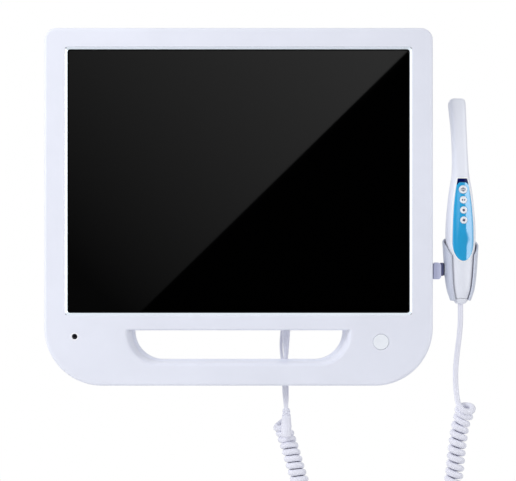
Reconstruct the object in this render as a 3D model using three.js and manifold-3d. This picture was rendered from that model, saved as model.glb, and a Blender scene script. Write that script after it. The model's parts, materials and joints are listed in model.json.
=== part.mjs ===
// Intraoral camera set: a wall- or arm-mounted monitor, a swivelling holder on its right side, the
// camera handpiece standing in the holder, and the curly cord that joins the handpiece to the
// monitor. Millimetres, +Z up, the screen faces -Y, +X is the viewer's right. The origin is the
// centre of the VESA pad on the monitor's back, and the pad is the plane Y = 0.
import * as THREE from 'three';
import { mergeVertices } from 'three/addons/utils/BufferGeometryUtils.js';
import Module from 'manifold-3d';

const wasm = await Module();
wasm.setup();

// ---- driving dimensions ------------------------------------------------------------------------
const GAP = 0.3; // clearance between neighbouring pieces

const MONITOR = {
  halfWidth: 194.7, top: 162.5, bottom: -196, // outline
  topRadius: 12, bottomRadius: 58, // corner radii of the outline
  front: -46, split: -28, rear: -16, // Y of the front face, parting line and thin rear face
  wall: 2.5, edge: 3, // wall thickness and edge chamfer
};
const SCREEN = { halfWidth: 171.5, top: 141, bottom: -123, lip: 3, radius: 3 };
const HANDLE = {
  frontHalf: 111.7, rearHalf: 105.2, // the hand-hold narrows towards the back
  top: -140.5, frontBottom: -174, rearBottom: -171,
  frontRadius: 30.5, rearRadius: 28.5, topRadius: 1.5, // its lower corners are quarter circles
};
const BULGE = { halfWidth: 146, top: 134, bottom: -124, taper: 10 }; // thick middle of the cover
const VESA = { pitch: 75, insertRadius: 3.5, insertLength: 6, bore: 1.65 };
const CASE_SCREWS = [[187, 152], [-187, 152], [187, -30], [-187, -30], [160, -160], [-160, -160]];
const POWER = { x: 142.6, z: -152, radius: 8, travel: 1 };
const INFRARED = { x: -163.9, z: -146.6, radius: 2.4 };
const PORT = { x: 48.3, y: -8.2, dcX: -52 }; // sockets on the underside of the bulge

const HOLDER = { x: 224.6, y: -28, pivotZ: -79.7, yaw: 7 }; // the handpiece is turned to the side, degrees
const AGAINST_YAW = [0, 0, -HOLDER.yaw];
const CUP = {
  bottom: -111, back: -45, // lowest edge and the top of its back
  clearance: 0.8, wall: 2.4, slot: 0.73, // the front slot is this share of the outer half width
};
const STUB = { radius: 6.85, start: 203.9, bossReach: 16.7 };

const BODY = { top: 93.1, bottom: -114.3, wall: 1.8, setback: 16, bendFrom: -5, bendRise: 99 };
const CAP_TOP = -108.9; // joint between the end cap and the shells
const PANEL = { top: 12, widestZ: -52, bottom: -70.8, topHalf: 4.7, half: 10.9, depth: 1.3 };
const BUTTONS = [
  { name: 'capture_button', z: 0.8, radius: 4.3 },
  { name: 'mirror_button', z: -9.7, radius: 3.8 },
  { name: 'display_button', z: -19.9, radius: 3.7 },
  { name: 'light_button', z: -30, radius: 3.7 },
];
const BUTTON_TRAVEL = 0.5;
const HEAD_Z = 83.5; // height of the lens axis on the bent neck

const CORD = { wire: 5.5, coil: 19, video: 4.5, power: 3.2 };

// ---- colours -----------------------------------------------------------------------------------
const finish = (color, roughness, metalness = 0) =>
  new THREE.MeshStandardMaterial({ color, roughness, metalness });
const FINISH = {
  shell: finish(0xe6e8f2, 0.42),
  cable: finish(0xe1e3ee, 0.55),
  glass: finish(0x050506, 0.06),
  smoke: finish(0x0a0b10, 0.15),
  blue: finish(0x2f93d0, 0.12),
  navy: finish(0x0a1450, 0.12),
  button: finish(0xf2f5fa, 0.35),
  grey: finish(0x4c4d66, 0.5),
  black: finish(0x18181b, 0.6),
  steel: finish(0xb9bcc2, 0.3, 1),
  brass: finish(0xc8a24a, 0.35, 1),
  board: finish(0x1d6b45, 0.5),
  lamp: finish(0xf5f2d8, 0.3),
  foam: finish(0x3a3a3f, 0.9),
};

// ---- solids ------------------------------------------------------------------------------------
function solid(geometry) {
  const plain = geometry.index ? geometry.toNonIndexed() : geometry.clone();
  plain.deleteAttribute('normal');
  plain.deleteAttribute('uv');
  const merged = mergeVertices(plain, 1e-4);
  return new wasm.Manifold(new wasm.Mesh({
    numProp: 3,
    vertProperties: merged.attributes.position.array,
    triVerts: new Uint32Array(merged.index.array),
  }));
}

function geometryOf(body) {
  const mesh = body.getMesh();
  const geometry = new THREE.BufferGeometry();
  geometry.setAttribute('position', new THREE.BufferAttribute(mesh.vertProperties, 3));
  geometry.setIndex(new THREE.BufferAttribute(mesh.triVerts, 1));
  return geometry;
}

const cut = (body, ...tools) => tools.reduce((left, tool) => left.subtract(tool), body);
const join = (body, ...others) => others.reduce((sum, other) => sum.add(other), body);

// An axis-aligned block between two opposite corners.
function block([x0, y0, z0], [x1, y1, z1]) {
  const geometry = new THREE.BoxGeometry(x1 - x0, y1 - y0, z1 - z0);
  return solid(geometry.translate((x0 + x1) / 2, (y0 + y1) / 2, (z0 + z1) / 2));
}

// A shape drawn in X and Z, extruded from the plane Y = y0 back to Y = y1.
function plate(shape, y0, y1, curveSegments = 6) {
  const settings = { depth: y1 - y0, bevelEnabled: false, curveSegments };
  const geometry = new THREE.ExtrudeGeometry(shape, settings);
  return solid(geometry.rotateX(Math.PI / 2).translate(0, y1, 0));
}

// A stepped round piece: pairs of radius and distance along the axis, from the axis to the axis.
function turned(profile, segments = 24) {
  return new THREE.LatheGeometry(profile.map(([r, y]) => new THREE.Vector2(r, y)), segments);
}

const disc = (radius, from, to) => [[0, from], [radius, from], [radius, to], [0, to]];
const ring = (inner, outer, from, to) => [
  [inner, from], [outer, from], [outer, to], [inner, to], [inner, from],
];

// The same along Y, along Z or along X, through a point of the other two axes.
const alongY = (profile, x, z, segments) => solid(turned(profile, segments).translate(x, 0, z));
const alongZ = (profile, x, y, segments) =>
  solid(turned(profile, segments).rotateX(Math.PI / 2).translate(x, y, 0));
const alongX = (profile, y, z, segments) =>
  solid(turned(profile, segments).rotateZ(-Math.PI / 2).translate(0, y, z));

// A solid through a list of closed outlines with the same number of points, flat at both ends.
function loft(outlines) {
  const count = outlines[0].length;
  const middle = (outline) =>
    outline.reduce((sum, p) => sum.add(p), new THREE.Vector3()).divideScalar(count);
  const points = [...outlines.flat(), middle(outlines[0]), middle(outlines[outlines.length - 1])];
  const first = points.length - 2;
  const triangles = [];
  outlines.slice(1).forEach((_, row) => {
    for (let i = 0; i < count; i += 1) {
      const a = row * count + i;
      const b = row * count + ((i + 1) % count);
      triangles.push(a, b, a + count, b, b + count, a + count);
    }
  });
  const last = (outlines.length - 1) * count;
  for (let i = 0; i < count; i += 1) {
    const next = (i + 1) % count;
    triangles.push(first, next, i, first + 1, last + i, last + next);
  }
  const geometry = new THREE.BufferGeometry().setFromPoints(points);
  geometry.setIndex(triangles);
  const made = solid(geometry);
  if (made.volume() > 0) return made;
  geometry.setIndex(triangles.reverse());
  return solid(geometry);
}

// A rectangle in X and Z with its own radius at the top and the bottom corners.
function cornered(halfWidth, bottom, top, bottomRadius, topRadius) {
  const shape = new THREE.Shape();
  const quarter = Math.PI / 2;
  const corner = (side, level, radius, turn) => {
    const centreZ = level + (level === bottom ? radius : -radius);
    shape.absarc(side * (halfWidth - radius), centreZ, radius, turn * quarter, (turn + 1) * quarter, false);
  };
  corner(1, bottom, bottomRadius, -1);
  corner(1, top, topRadius, 0);
  corner(-1, top, topRadius, 1);
  corner(-1, bottom, bottomRadius, 2);
  shape.closePath();
  return shape;
}

// Its outline as points on the plane Y = y, for a loft.
function outlineAt(shape, y, segments = 6) {
  const points = shape.getPoints(segments);
  const open = points[0].distanceTo(points[points.length - 1]) < 1e-6 ? points.slice(0, -1) : points;
  return open.map((p) => new THREE.Vector3(p.x, y, p.y));
}

const parts = new THREE.Group();

function add(name, body, material, group = parts) {
  const geometry = body.isBufferGeometry ? body : geometryOf(body);
  geometry.computeVertexNormals();
  const mesh = new THREE.Mesh(geometry, material);
  mesh.name = name;
  group.add(mesh);
  return mesh;
}

// ---- monitor casing ----------------------------------------------------------------------------
const caseShape = (inset) => cornered(
  MONITOR.halfWidth - inset, MONITOR.bottom + inset, MONITOR.top - inset,
  MONITOR.bottomRadius - inset, MONITOR.topRadius - inset,
);

const handleShape = (share, grow) => {
  const mix = (front, rear) => front + (rear - front) * share;
  return cornered(
    mix(HANDLE.frontHalf, HANDLE.rearHalf) + grow,
    mix(HANDLE.frontBottom, HANDLE.rearBottom) - grow,
    HANDLE.top + grow,
    mix(HANDLE.frontRadius, HANDLE.rearRadius) + grow,
    HANDLE.topRadius + grow,
  );
};

// The hand-hold from one depth to another, grown sideways by a wall thickness.
function handleTunnel(y0, y1, grow) {
  const share = (y) => (y - MONITOR.front) / (MONITOR.rear - MONITOR.front);
  return loft([y0, y1].map((y) => outlineAt(handleShape(share(y), grow), y, 8)));
}

const screenShape = (grow, radius = SCREEN.radius) => {
  const { halfWidth, bottom, top } = SCREEN;
  return cornered(halfWidth + grow, bottom - grow, top + grow, radius, radius);
};

const PLATE_BACK = MONITOR.front + 2.6; // inner face of the bezel's front plate
const COVER_INNER = MONITOR.rear - MONITOR.wall;

function frontBezel() {
  const { front, split, edge, wall } = MONITOR;
  const outer = loft([
    outlineAt(caseShape(edge), front), outlineAt(caseShape(0), front + edge),
    outlineAt(caseShape(0), split),
  ]);
  const hollow = cut(
    plate(caseShape(wall), PLATE_BACK, split + 1),
    handleTunnel(front, split + 2, wall),
    ...CASE_SCREWS.map(([x, z]) => alongY(disc(4, front, split + 2), x, z, 10)),
  );
  const opening = loft([
    outlineAt(screenShape(SCREEN.lip), front - 0.01),
    outlineAt(screenShape(0), PLATE_BACK + 0.01),
  ]);
  return cut(
    outer, hollow, opening,
    handleTunnel(front - 1, split + 1, 0),
    ...CASE_SCREWS.map(([x, z]) => alongY(disc(1.8, -40, split + 1), x, z, 8)),
    alongY(disc(POWER.radius + 0.4, front - 1, PLATE_BACK + 1), POWER.x, POWER.z, 24),
    alongY(disc(INFRARED.radius + GAP, front - 1, PLATE_BACK + 1), INFRARED.x, INFRARED.z, 12),
  );
}

function bulgeLoft(inset, from, to) {
  const { halfWidth, top, bottom, taper } = BULGE;
  const shapeAt = (grow, y) => outlineAt(
    cornered(halfWidth - grow - inset, bottom + inset, top - grow - inset, 5, 14), y,
  );
  return loft([shapeAt(0, from), shapeAt(taper - 4, to - 3), shapeAt(taper, to)]);
}

const VENTS = { count: 10, pitch: 16, halfWidth: 3, low: 96, high: 116 };

function rearCover() {
  const { split, rear, edge, wall } = MONITOR;
  const start = split + GAP;
  const outer = join(
    loft([
      outlineAt(caseShape(0), start), outlineAt(caseShape(0), rear - edge),
      outlineAt(caseShape(edge + 1), rear),
    ]),
    bulgeLoft(0, rear - 1, 0),
  );
  const hollow = cut(
    join(plate(caseShape(wall), start - 1, COVER_INNER), bulgeLoft(wall, COVER_INNER - 1, -wall)),
    handleTunnel(split - 2, rear, wall),
    ...CASE_SCREWS.map(([x, z]) => alongY(disc(4.5, start - 1, rear), x, z, 10)),
    ...vesaPlaces().map(([x, z]) => alongY(disc(6, -9, 0), x, z, 12)),
  );
  const vents = Array.from({ length: VENTS.count }, (_, i) => {
    const x = (i - (VENTS.count - 1) / 2) * VENTS.pitch;
    return block([x - VENTS.halfWidth, -4, VENTS.low], [x + VENTS.halfWidth, 1, VENTS.high]);
  });
  return cut(
    outer, hollow, ...vents,
    handleTunnel(start - 1, rear + 1, 0),
    ...CASE_SCREWS.map(([x, z]) => join(
      alongY(disc(1.8, start - 1, rear + 1), x, z, 8),
      alongY(disc(3.8, rear - 3, rear + 1), x, z, 12),
    )),
    ...vesaPlaces().map(([x, z]) => alongY(disc(VESA.insertRadius + 0.25, -6.6, 1), x, z, 12)),
    alongZ(disc(6.8, -130, -110), PORT.x, PORT.y, 24),
    alongZ(disc(5, -130, -110), PORT.dcX, PORT.y, 20),
  );
}

function vesaPlaces() {
  const half = VESA.pitch / 2;
  return [[half, half], [-half, half], [half, -half], [-half, -half]];
}

add('front_bezel', frontBezel(), FINISH.shell);
add('rear_cover', rearCover(), FINISH.shell);

vesaPlaces().forEach(([x, z], i) => {
  const insert = ring(VESA.bore, VESA.insertRadius, -VESA.insertLength - 0.2, -0.2);
  add(`vesa_insert_${i + 1}`, alongY(insert, x, z, 12), FINISH.brass);
});

CASE_SCREWS.forEach(([x, z], i) => {
  const neck = MONITOR.rear - 3 + 0.2;
  const screw = [[0, -39.5], [1.5, -39.5], [1.5, neck], [3.3, neck], [3.3, neck + 2], [0, neck + 2]];
  add(`case_screw_${i + 1}`, alongY(screw, x, z, 8), FINISH.steel);
});

// ---- screen and electronics --------------------------------------------------------------------
const GLASS_FRONT = PLATE_BACK + GAP;
const MODULE = { halfWidth: 179.5, bottom: -131, top: 149, thickness: 11 };
const MODULE_FRONT = GLASS_FRONT + 1.5 + GAP;
const MODULE_BACK = MODULE_FRONT + MODULE.thickness;

add('screen_glass', plate(screenShape(5, 2), GLASS_FRONT, GLASS_FRONT + 1.5), FINISH.glass);
add('lcd_panel', block(
  [-MODULE.halfWidth, MODULE_FRONT, MODULE.bottom], [MODULE.halfWidth, MODULE_BACK, MODULE.top],
), FINISH.steel);

// Each bracket is an angle along one side of the module, bent in behind it.
for (const [name, side] of [['lcd_bracket_left', -1], ['lcd_bracket_right', 1]]) {
  const outerX = MODULE.halfWidth + GAP;
  const angle = new THREE.Shape([
    [outerX, MODULE_FRONT], [outerX + 1.2, MODULE_FRONT], [outerX + 1.2, MODULE_BACK + 1.5],
    [outerX - 16, MODULE_BACK + 1.5], [outerX - 16, MODULE_BACK + GAP], [outerX, MODULE_BACK + GAP],
  ].map(([x, y]) => new THREE.Vector2(side * x, y)));
  const geometry = new THREE.ExtrudeGeometry(angle, { depth: 250, bevelEnabled: false });
  add(name, geometry.translate(0, 0, -115), FINISH.steel);
}

const BOARD = { back: -13, thickness: 1.6 };
add('main_board', block([-20, BOARD.back, -108], [110, BOARD.back + BOARD.thickness, 10]), FINISH.board);
add('power_board', block([-120, BOARD.back, -108], [-26, BOARD.back + BOARD.thickness, 10]), FINISH.board);

function socket(x, hole, outer) {
  return cut(
    alongZ(disc(outer, BULGE.bottom, BULGE.bottom + 9), x, PORT.y, 24),
    alongZ(disc(hole, BULGE.bottom - 1, BULGE.bottom + 7), x, PORT.y, 20),
  );
}
add('camera_socket', socket(PORT.x, 4.4, 6.4), FINISH.black);
add('dc_inlet', join(
  socket(PORT.dcX, 3.2, 4.6), alongZ(disc(1, BULGE.bottom + 1, BULGE.bottom + 8), PORT.dcX, PORT.y, 10),
), FINISH.black);

// ---- power button and infrared receiver --------------------------------------------------------
const BUTTON_BOARD_Y = -33;
add('power_button', alongY([
  [0, MONITOR.front - 0.4], [POWER.radius - 0.7, MONITOR.front - 0.4],
  [POWER.radius, MONITOR.front + 0.3], [POWER.radius, PLATE_BACK + GAP],
  [POWER.radius + 1.4, PLATE_BACK + GAP], [POWER.radius + 1.4, PLATE_BACK + 1.3],
  [2.5, PLATE_BACK + 1.3], [2.5, -38.6], [0, -38.6],
], POWER.x, POWER.z, 24), FINISH.button);
add('power_switch', join(
  block(
    [POWER.x - 3, BUTTON_BOARD_Y - 3.4, POWER.z - 3],
    [POWER.x + 3, BUTTON_BOARD_Y - GAP, POWER.z + 3],
  ),
  alongY(disc(1.7, -38.6 + POWER.travel + 0.2, BUTTON_BOARD_Y - 2), POWER.x, POWER.z, 12),
), FINISH.black);
add('button_board', block(
  [POWER.x - 9, BUTTON_BOARD_Y, POWER.z - 8], [POWER.x + 9, BUTTON_BOARD_Y + 1.6, POWER.z + 8],
), FINISH.board);
add('infrared_window', alongY([
  [0, MONITOR.front - 0.5], [1.4, MONITOR.front - 0.4], [INFRARED.radius, MONITOR.front],
  [INFRARED.radius, PLATE_BACK + GAP], [INFRARED.radius + 1, PLATE_BACK + GAP],
  [INFRARED.radius + 1, PLATE_BACK + 1.2], [0, PLATE_BACK + 1.2],
], INFRARED.x, INFRARED.z, 12), FINISH.smoke);
add('infrared_receiver', block(
  [INFRARED.x - 3, PLATE_BACK + 1.5, INFRARED.z - 3.5], [INFRARED.x + 3, -37.5, INFRARED.z + 3.5],
), FINISH.black);

// ---- holder ------------------------------------------------------------------------------------
const SIDE = MONITOR.halfWidth;
add('adhesive_pad', block([SIDE + GAP, -37, -88.5], [SIDE + 1, -20.5, -74]), FINISH.foam);

// The base is a block whose outer edges are chamfered.
const baseOutline = new THREE.Shape([
  [SIDE + 1.3, -89.5], [STUB.start - 2, -89.5], [STUB.start, -87.5], [STUB.start, -75],
  [STUB.start - 2, -72.8], [SIDE + 3.8, -72.8], [SIDE + 1.3, -75.3],
].map(([x, z]) => new THREE.Vector2(x, z)));
add('holder_base', cut(
  plate(baseOutline, -37.5, -19),
  alongX(disc(1.9, SIDE + 4, STUB.start + 1), HOLDER.y, HOLDER.pivotZ, 12),
), FINISH.shell);

const BOSS_FACE = HOLDER.x - STUB.bossReach;
const WASHER_FACE = BOSS_FACE - GAP;
add('swivel_stub', alongX(
  ring(1.9, STUB.radius, STUB.start + GAP, WASHER_FACE - 0.6 - GAP), HOLDER.y, HOLDER.pivotZ,
), FINISH.grey);
add('swivel_washer', alongX(
  ring(2.1, STUB.radius - 0.5, WASHER_FACE - 0.6, WASHER_FACE), HOLDER.y, HOLDER.pivotZ, 20,
), FINISH.black);
const HEAD_FACE = BOSS_FACE + 1.7;
add('swivel_screw', alongX([
  [0, SIDE + 4.5], [1.6, SIDE + 4.5], [1.6, HEAD_FACE], [3.1, HEAD_FACE], [3.1, HEAD_FACE + 0.9],
  [0, HEAD_FACE + 0.9],
], HOLDER.y, HOLDER.pivotZ, 16), FINISH.steel);

// ---- handpiece body ----------------------------------------------------------------------------
// Half width of the body at some heights, smooth between them; the depth is a share of the width
// that rises from the grip to the neck, and so is the squareness of the section.
const HALF_WIDTHS = [
  [-114.3, 4.9], [-112, 6.7], [-108, 8.3], [-100, 10.8], [-88, 12.6], [-71, 13.9], [-42, 15.2],
  [-14, 13.3], [1, 11.4], [14, 8.9], [30, 7.8], [60, 7.7], [86, 8.5], [93.1, 8.4],
];
const smoothStep = (t) => THREE.MathUtils.smoothstep(t, 0, 1);

function halfWidth(z) {
  const rows = HALF_WIDTHS;
  const next = Math.min(Math.max(rows.findIndex(([height]) => height >= z), 1), rows.length - 1);
  const row = (i) => rows[Math.min(Math.max(i, 0), rows.length - 1)];
  const [[z0, a0], [z1, a1], [z2, a2], [z3, a3]] = [next - 2, next - 1, next, next + 1].map(row);
  const t = (z - z1) / (z2 - z1);
  const span = z2 - z1;
  const slope1 = ((a2 - a0) / (z2 - z0)) * span;
  const slope2 = ((a3 - a1) / (z3 - z1)) * span;
  return (2 * t ** 3 - 3 * t ** 2 + 1) * a1 + (t ** 3 - 2 * t ** 2 + t) * slope1
    + (3 * t ** 2 - 2 * t ** 3) * a2 + (t ** 3 - t ** 2) * slope2;
}

const neckShare = (z) => smoothStep((z + 5) / 35);
const halfDepth = (z) => halfWidth(z) * (0.86 + 0.05 * neckShare(z));
const setback = (z) => BODY.setback * (Math.max(z - BODY.bendFrom, 0) / BODY.bendRise) ** 2;
const lean = (z) => Math.atan(
  (2 * BODY.setback * Math.max(z - BODY.bendFrom, 0)) / BODY.bendRise ** 2,
);

// One superellipse section across the bent axis, grown by an offset and scaled for a rounded end.
function section(z, grow, count, scale = 1, height = z) {
  const power = 2 / (2.2 + 1.2 * neckShare(z));
  const reach = (c, half) => Math.sign(c) * Math.abs(c) ** power * half;
  const tilt = new THREE.Matrix4().makeRotationX(-lean(z)).setPosition(0, setback(height), height);
  return Array.from({ length: count }, (_, i) => {
    const angle = (i / count) * 2 * Math.PI;
    return new THREE.Vector3(
      reach(Math.cos(angle), (halfWidth(z) + grow) * scale),
      reach(Math.sin(angle), (halfDepth(z) + grow) * scale), 0,
    ).applyMatrix4(tilt);
  });
}

const BODY_HEIGHTS = [-112, -108, -100, -89, -76, -60, -42, -26, -12, -2, 7, 15, 24, 42, 60, 78];
const CROWN = [[5, 1], [1.8, 0.95], [0.5, 0.82], [0, 0.6]]; // drop below the top, share of the width

function bodyLoft(grow, low = BODY.bottom, high = BODY.top, count = 24) {
  const heights = [low, ...BODY_HEIGHTS.filter((z) => z > low + 1 && z < high - 6)];
  return loft([
    ...heights.map((z) => section(z, grow, count)),
    ...CROWN.map(([drop, scale]) => section(high - 5, grow, count, scale, high - drop)),
  ]);
}

const holder = new THREE.Group();
holder.position.set(HOLDER.x, HOLDER.y, 0);
holder.rotation.z = THREE.MathUtils.degToRad(HOLDER.yaw);
parts.add(holder);

// Everything in front of the seam, which follows the bent axis, or everything behind it.
function seamCutter(front) {
  const far = front ? -60 : 60;
  const heights = [-130, -5, 15, 35, 55, 75, 100];
  const edge = heights.map((z) => [setback(z) + (front ? -GAP / 2 : GAP / 2), z]);
  const shape = new THREE.Shape(
    [...edge, [far, 100], [far, -130]].map(([y, z]) => new THREE.Vector2(y, z)),
  );
  const geometry = new THREE.ExtrudeGeometry(shape, { depth: 80, bevelEnabled: false });
  // the extruded (y, z, x) axes turn into (x, y, z)
  geometry.translate(0, 0, -40);
  geometry.applyMatrix4(new THREE.Matrix4().set(0, 0, 1, 0, 1, 0, 0, 0, 0, 1, 0, 0, 0, 0, 0, 1));
  return solid(geometry);
}

function panelShape(grow) {
  const { top, widestZ, bottom, topHalf, half } = PANEL;
  const shape = new THREE.Shape();
  shape.moveTo(-topHalf - grow, top + grow);
  shape.lineTo(topHalf + grow, top + grow);
  shape.bezierCurveTo(topHalf + 3 + grow, 0, half + grow, -22, half + grow, widestZ);
  shape.bezierCurveTo(
    half + grow, widestZ - 10, 6 + grow, bottom - grow, 0, bottom - grow,
  );
  shape.bezierCurveTo(
    -6 - grow, bottom - grow, -half - grow, widestZ - 10, -half - grow, widestZ,
  );
  shape.bezierCurveTo(-half - grow, -22, -topHalf - 3 - grow, 0, -topHalf - grow, top + grow);
  return shape;
}

const INDICATOR_LOW = 7.4; // the dark window fills the recess above this height
const PANEL_STEPS = 8;
const beyond = block([-40, -60, INDICATOR_LOW], [40, 60, 60]);
const frontWedge = (grow) => plate(panelShape(grow), -40, 0, PANEL_STEPS);

// Inner hollow of the body, shared by the two shells.
const hollowBody = bodyLoft(-BODY.wall, CAP_TOP + 3, BODY.top - BODY.wall, 16);
const shellZone = block([-60, -60, CAP_TOP + GAP], [60, 60, 140]);
const outerBody = bodyLoft(0);

const screwPlaces = [-64, -92];
const SCREW_SEAT = 7.6; // depth of the counterbores in the rear shell

const buttonFace = (z) => -halfDepth(z);

function frontShell() {
  const half = outerBody.intersect(shellZone).intersect(seamCutter(true));
  const posts = screwPlaces.map((z) => alongY(disc(3, -halfDepth(z) + 0.6, -GAP / 2), 0, z, 10));
  const hollow = cut(hollowBody, ...posts);
  return cut(
    half, hollow,
    cut(frontWedge(GAP), bodyLoft(-PANEL.depth)),
    ...BUTTONS.map(({ z, radius }) => alongY(disc(radius + GAP, -30, 0), 0, z, 20)),
    ...screwPlaces.map((z) => alongY(disc(1.3, -6, 1), 0, z, 8)),
  );
}

const headFrame = new THREE.Matrix4()
  .makeRotationX(-lean(HEAD_Z))
  .setPosition(0, setback(HEAD_Z), HEAD_Z);
const inHead = (geometry) => solid(geometry.applyMatrix4(headFrame));

function rearShell() {
  const half = outerBody.intersect(shellZone).intersect(seamCutter(false));
  const posts = screwPlaces.map((z) => alongY(disc(3.6, GAP / 2, SCREW_SEAT + 3), 0, z, 12));
  const hollow = cut(hollowBody, ...posts);
  return cut(
    half, hollow,
    inHead(turned(disc(5.5, 0, 20))),
    ...screwPlaces.map((z) => join(
      alongY(disc(1.6, -1, 20), 0, z, 8), alongY(disc(2.5, SCREW_SEAT, 20), 0, z, 12),
    )),
  );
}

add('front_shell', frontShell(), FINISH.shell, holder);
add('rear_shell', rearShell(), FINISH.shell, holder);

screwPlaces.forEach((z, i) => {
  const profile = [
    [0, -5.7], [1, -5.7], [1, SCREW_SEAT + 0.2], [2.2, SCREW_SEAT + 0.2], [2.2, SCREW_SEAT + 1.8],
    [0, SCREW_SEAT + 1.8],
  ];
  add(`shell_screw_${i + 1}`, alongY(profile, 0, z, 8), FINISH.steel, holder);
});

const panelSkin = cut(bodyLoft(0), bodyLoft(-PANEL.depth + GAP)).intersect(frontWedge(0));
const buttonHoles = BUTTONS.map(({ z, radius }) => alongY(disc(radius + GAP, -30, 0), 0, z, 20));
add('blue_panel', cut(panelSkin, beyond, ...buttonHoles), FINISH.blue, holder);
add('indicator_window', cut(
  panelSkin.intersect(beyond), block([-40, -60, INDICATOR_LOW - 1], [40, 60, INDICATOR_LOW + GAP]),
  alongY(disc(BUTTONS[0].radius + GAP, -30, 0), 0, BUTTONS[0].z, 24),
), FINISH.navy, holder);

// ---- handpiece inner parts ---------------------------------------------------------------------
const PCB = { front: -2.4, back: -1.2, half: 5.2, low: -48, high: 10 };
add('handpiece_board', block(
  [-PCB.half, PCB.front, PCB.low], [PCB.half, PCB.back, PCB.high],
), FINISH.board, holder);

const SWITCH_TOP = -4.6;
BUTTONS.forEach(({ name, z, radius }, i) => {
  add(`tact_switch_${i + 1}`, join(
    block([-2.2, -4, z - 2.2], [2.2, PCB.front - 0.2, z + 2.2]),
    alongY(disc(1.1, SWITCH_TOP, -3.5), 0, z, 10),
  ), FINISH.black, holder);
  const face = buttonFace(z) - 0.7;
  const flange = buttonFace(z) + BODY.wall + 1.6;
  const stem = SWITCH_TOP - BUTTON_TRAVEL - 0.2;
  add(name, alongY([
    [0, face], [radius * 0.6, face + 0.1], [radius - 0.4, face + 0.3], [radius, face + 0.8],
    [radius, flange], [radius + 0.7, flange], [radius + 0.7, flange + 0.6], [1.4, flange + 0.6],
    [1.4, Math.max(stem, flange + 0.7)], [0, Math.max(stem, flange + 0.7)],
  ], 0, z, 16), FINISH.button, holder);
});

// In the head the parts lie along the lens axis, which looks out of the rear side.
const LENS = { window: 5.2, ringInner: 2.8, barrel: 2.5 };
const headBack = halfDepth(HEAD_Z);
add('lens_window', inHead(turned(disc(LENS.window, headBack - 1.4, headBack - 0.4))), FINISH.smoke, holder);
const ledRing = inHead(turned(ring(LENS.ringInner, LENS.window, headBack - 3, headBack - 2.2)));
const leds = Array.from({ length: 6 }, (_, i) => {
  const angle = (i / 6) * 2 * Math.PI;
  const profile = [[0, -2.6], [0.9, -2.6], [0.9, -2], [0, -1.8]].map(([r, y]) => [r, headBack + y]);
  const led = turned(profile, 8);
  return inHead(led.translate(4 * Math.cos(angle), 0, 4 * Math.sin(angle)));
});
add('led_ring', join(ledRing, ...leds), FINISH.lamp, holder);
add('lens_barrel', inHead(turned(disc(LENS.barrel, headBack - 7.5, headBack - 1.8))), FINISH.black, holder);
add('sensor_board', inHead(
  new THREE.BoxGeometry(9, 1.2, 9).translate(0, headBack - 8.4, 0),
), FINISH.board, holder);

const capZone = block([-60, -60, -200], [60, 60, CAP_TOP]);
add('end_cap', cut(
  outerBody.intersect(capZone),
  bodyLoft(-BODY.wall, BODY.bottom + 1.8, BODY.top - BODY.wall, 12),
  alongZ(disc(CORD.wire / 2 - 0.4, -130, -100), 0, 0, 16),
), FINISH.shell, holder);
add('cable_clamp', cut(
  block([-4.4, -4.4, -104.8], [4.4, 4.4, -99]),
  alongZ(disc(CORD.wire / 2, -120, -90), 0, 0, 16),
), FINISH.grey, holder);

// ---- cradle ------------------------------------------------------------------------------------
// A cup round the lower half of the grip, open at the bottom and slotted down the front; its rim
// slopes down from the back to the slot.
const rimSide = [
  [-40, -66], [-11, -66], [-4.4, -56], [4.4, -51.5], [18, CUP.back], [40, CUP.back], [40, 0], [-40, 0],
];

function cradle() {
  const { clearance, wall, bottom, back, slot } = CUP;
  const zone = block([-60, -60, bottom], [60, 60, back]);
  const outer = join(
    bodyLoft(clearance + wall).intersect(zone),
    alongX(disc(STUB.radius, -STUB.bossReach, -9), 0, HOLDER.pivotZ, 24).rotate(AGAINST_YAW),
  );
  const rim = new THREE.ExtrudeGeometry(
    new THREE.Shape(rimSide.map(([y, z]) => new THREE.Vector2(y, z))), { depth: 80, bevelEnabled: false },
  ).translate(0, 0, -40);
  rim.applyMatrix4(new THREE.Matrix4().set(0, 0, 1, 0, 1, 0, 0, 0, 0, 1, 0, 0, 0, 0, 0, 1));
  const slotHeights = [-120, -106, -96, -84, -70, -40];
  const slotEdge = slotHeights.map((z) => [slot * (halfWidth(Math.max(z, -112)) + clearance + wall), z]);
  const slotShape = new THREE.Shape([
    ...slotEdge, ...slotEdge.slice().reverse().map(([x, z]) => [-x, z]),
  ].map(([x, z]) => new THREE.Vector2(x, z)));
  return cut(
    outer, bodyLoft(clearance), solid(rim), plate(slotShape, -40, 0),
    alongX(disc(2.1, -30, 0), 0, HOLDER.pivotZ, 16).rotate(AGAINST_YAW),
    alongX(disc(3.5, -STUB.bossReach + 1.5, 0), 0, HOLDER.pivotZ, 16).rotate(AGAINST_YAW),
  );
}
add('cradle', cradle(), FINISH.shell, holder);

// ---- cord --------------------------------------------------------------------------------------
function tube(points, radius, sides, steps) {
  const path = new THREE.CatmullRomCurve3(points.map((p) => new THREE.Vector3(...p)));
  const outline = new THREE.Shape(Array.from({ length: sides }, (_, i) => {
    const angle = (i / sides) * 2 * Math.PI;
    return new THREE.Vector2(radius * Math.cos(angle), radius * Math.sin(angle));
  }));
  return new THREE.ExtrudeGeometry(outline, { extrudePath: path, steps, bevelEnabled: false });
}

// From the end cap straight down, then in a slack bow to the top of the coils.
const LEAD_POINTS = [
  [224.6, -28, -114.7], [224.5, -28, -133], [223.4, -28, -147], [221.2, -28, -165],
  [219.7, -28, -182], [219.9, -28.8, -200], [221, -31, -211.5],
];
add('handpiece_lead', tube(LEAD_POINTS, CORD.wire / 2, 10, 14), FINISH.cable);

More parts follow.
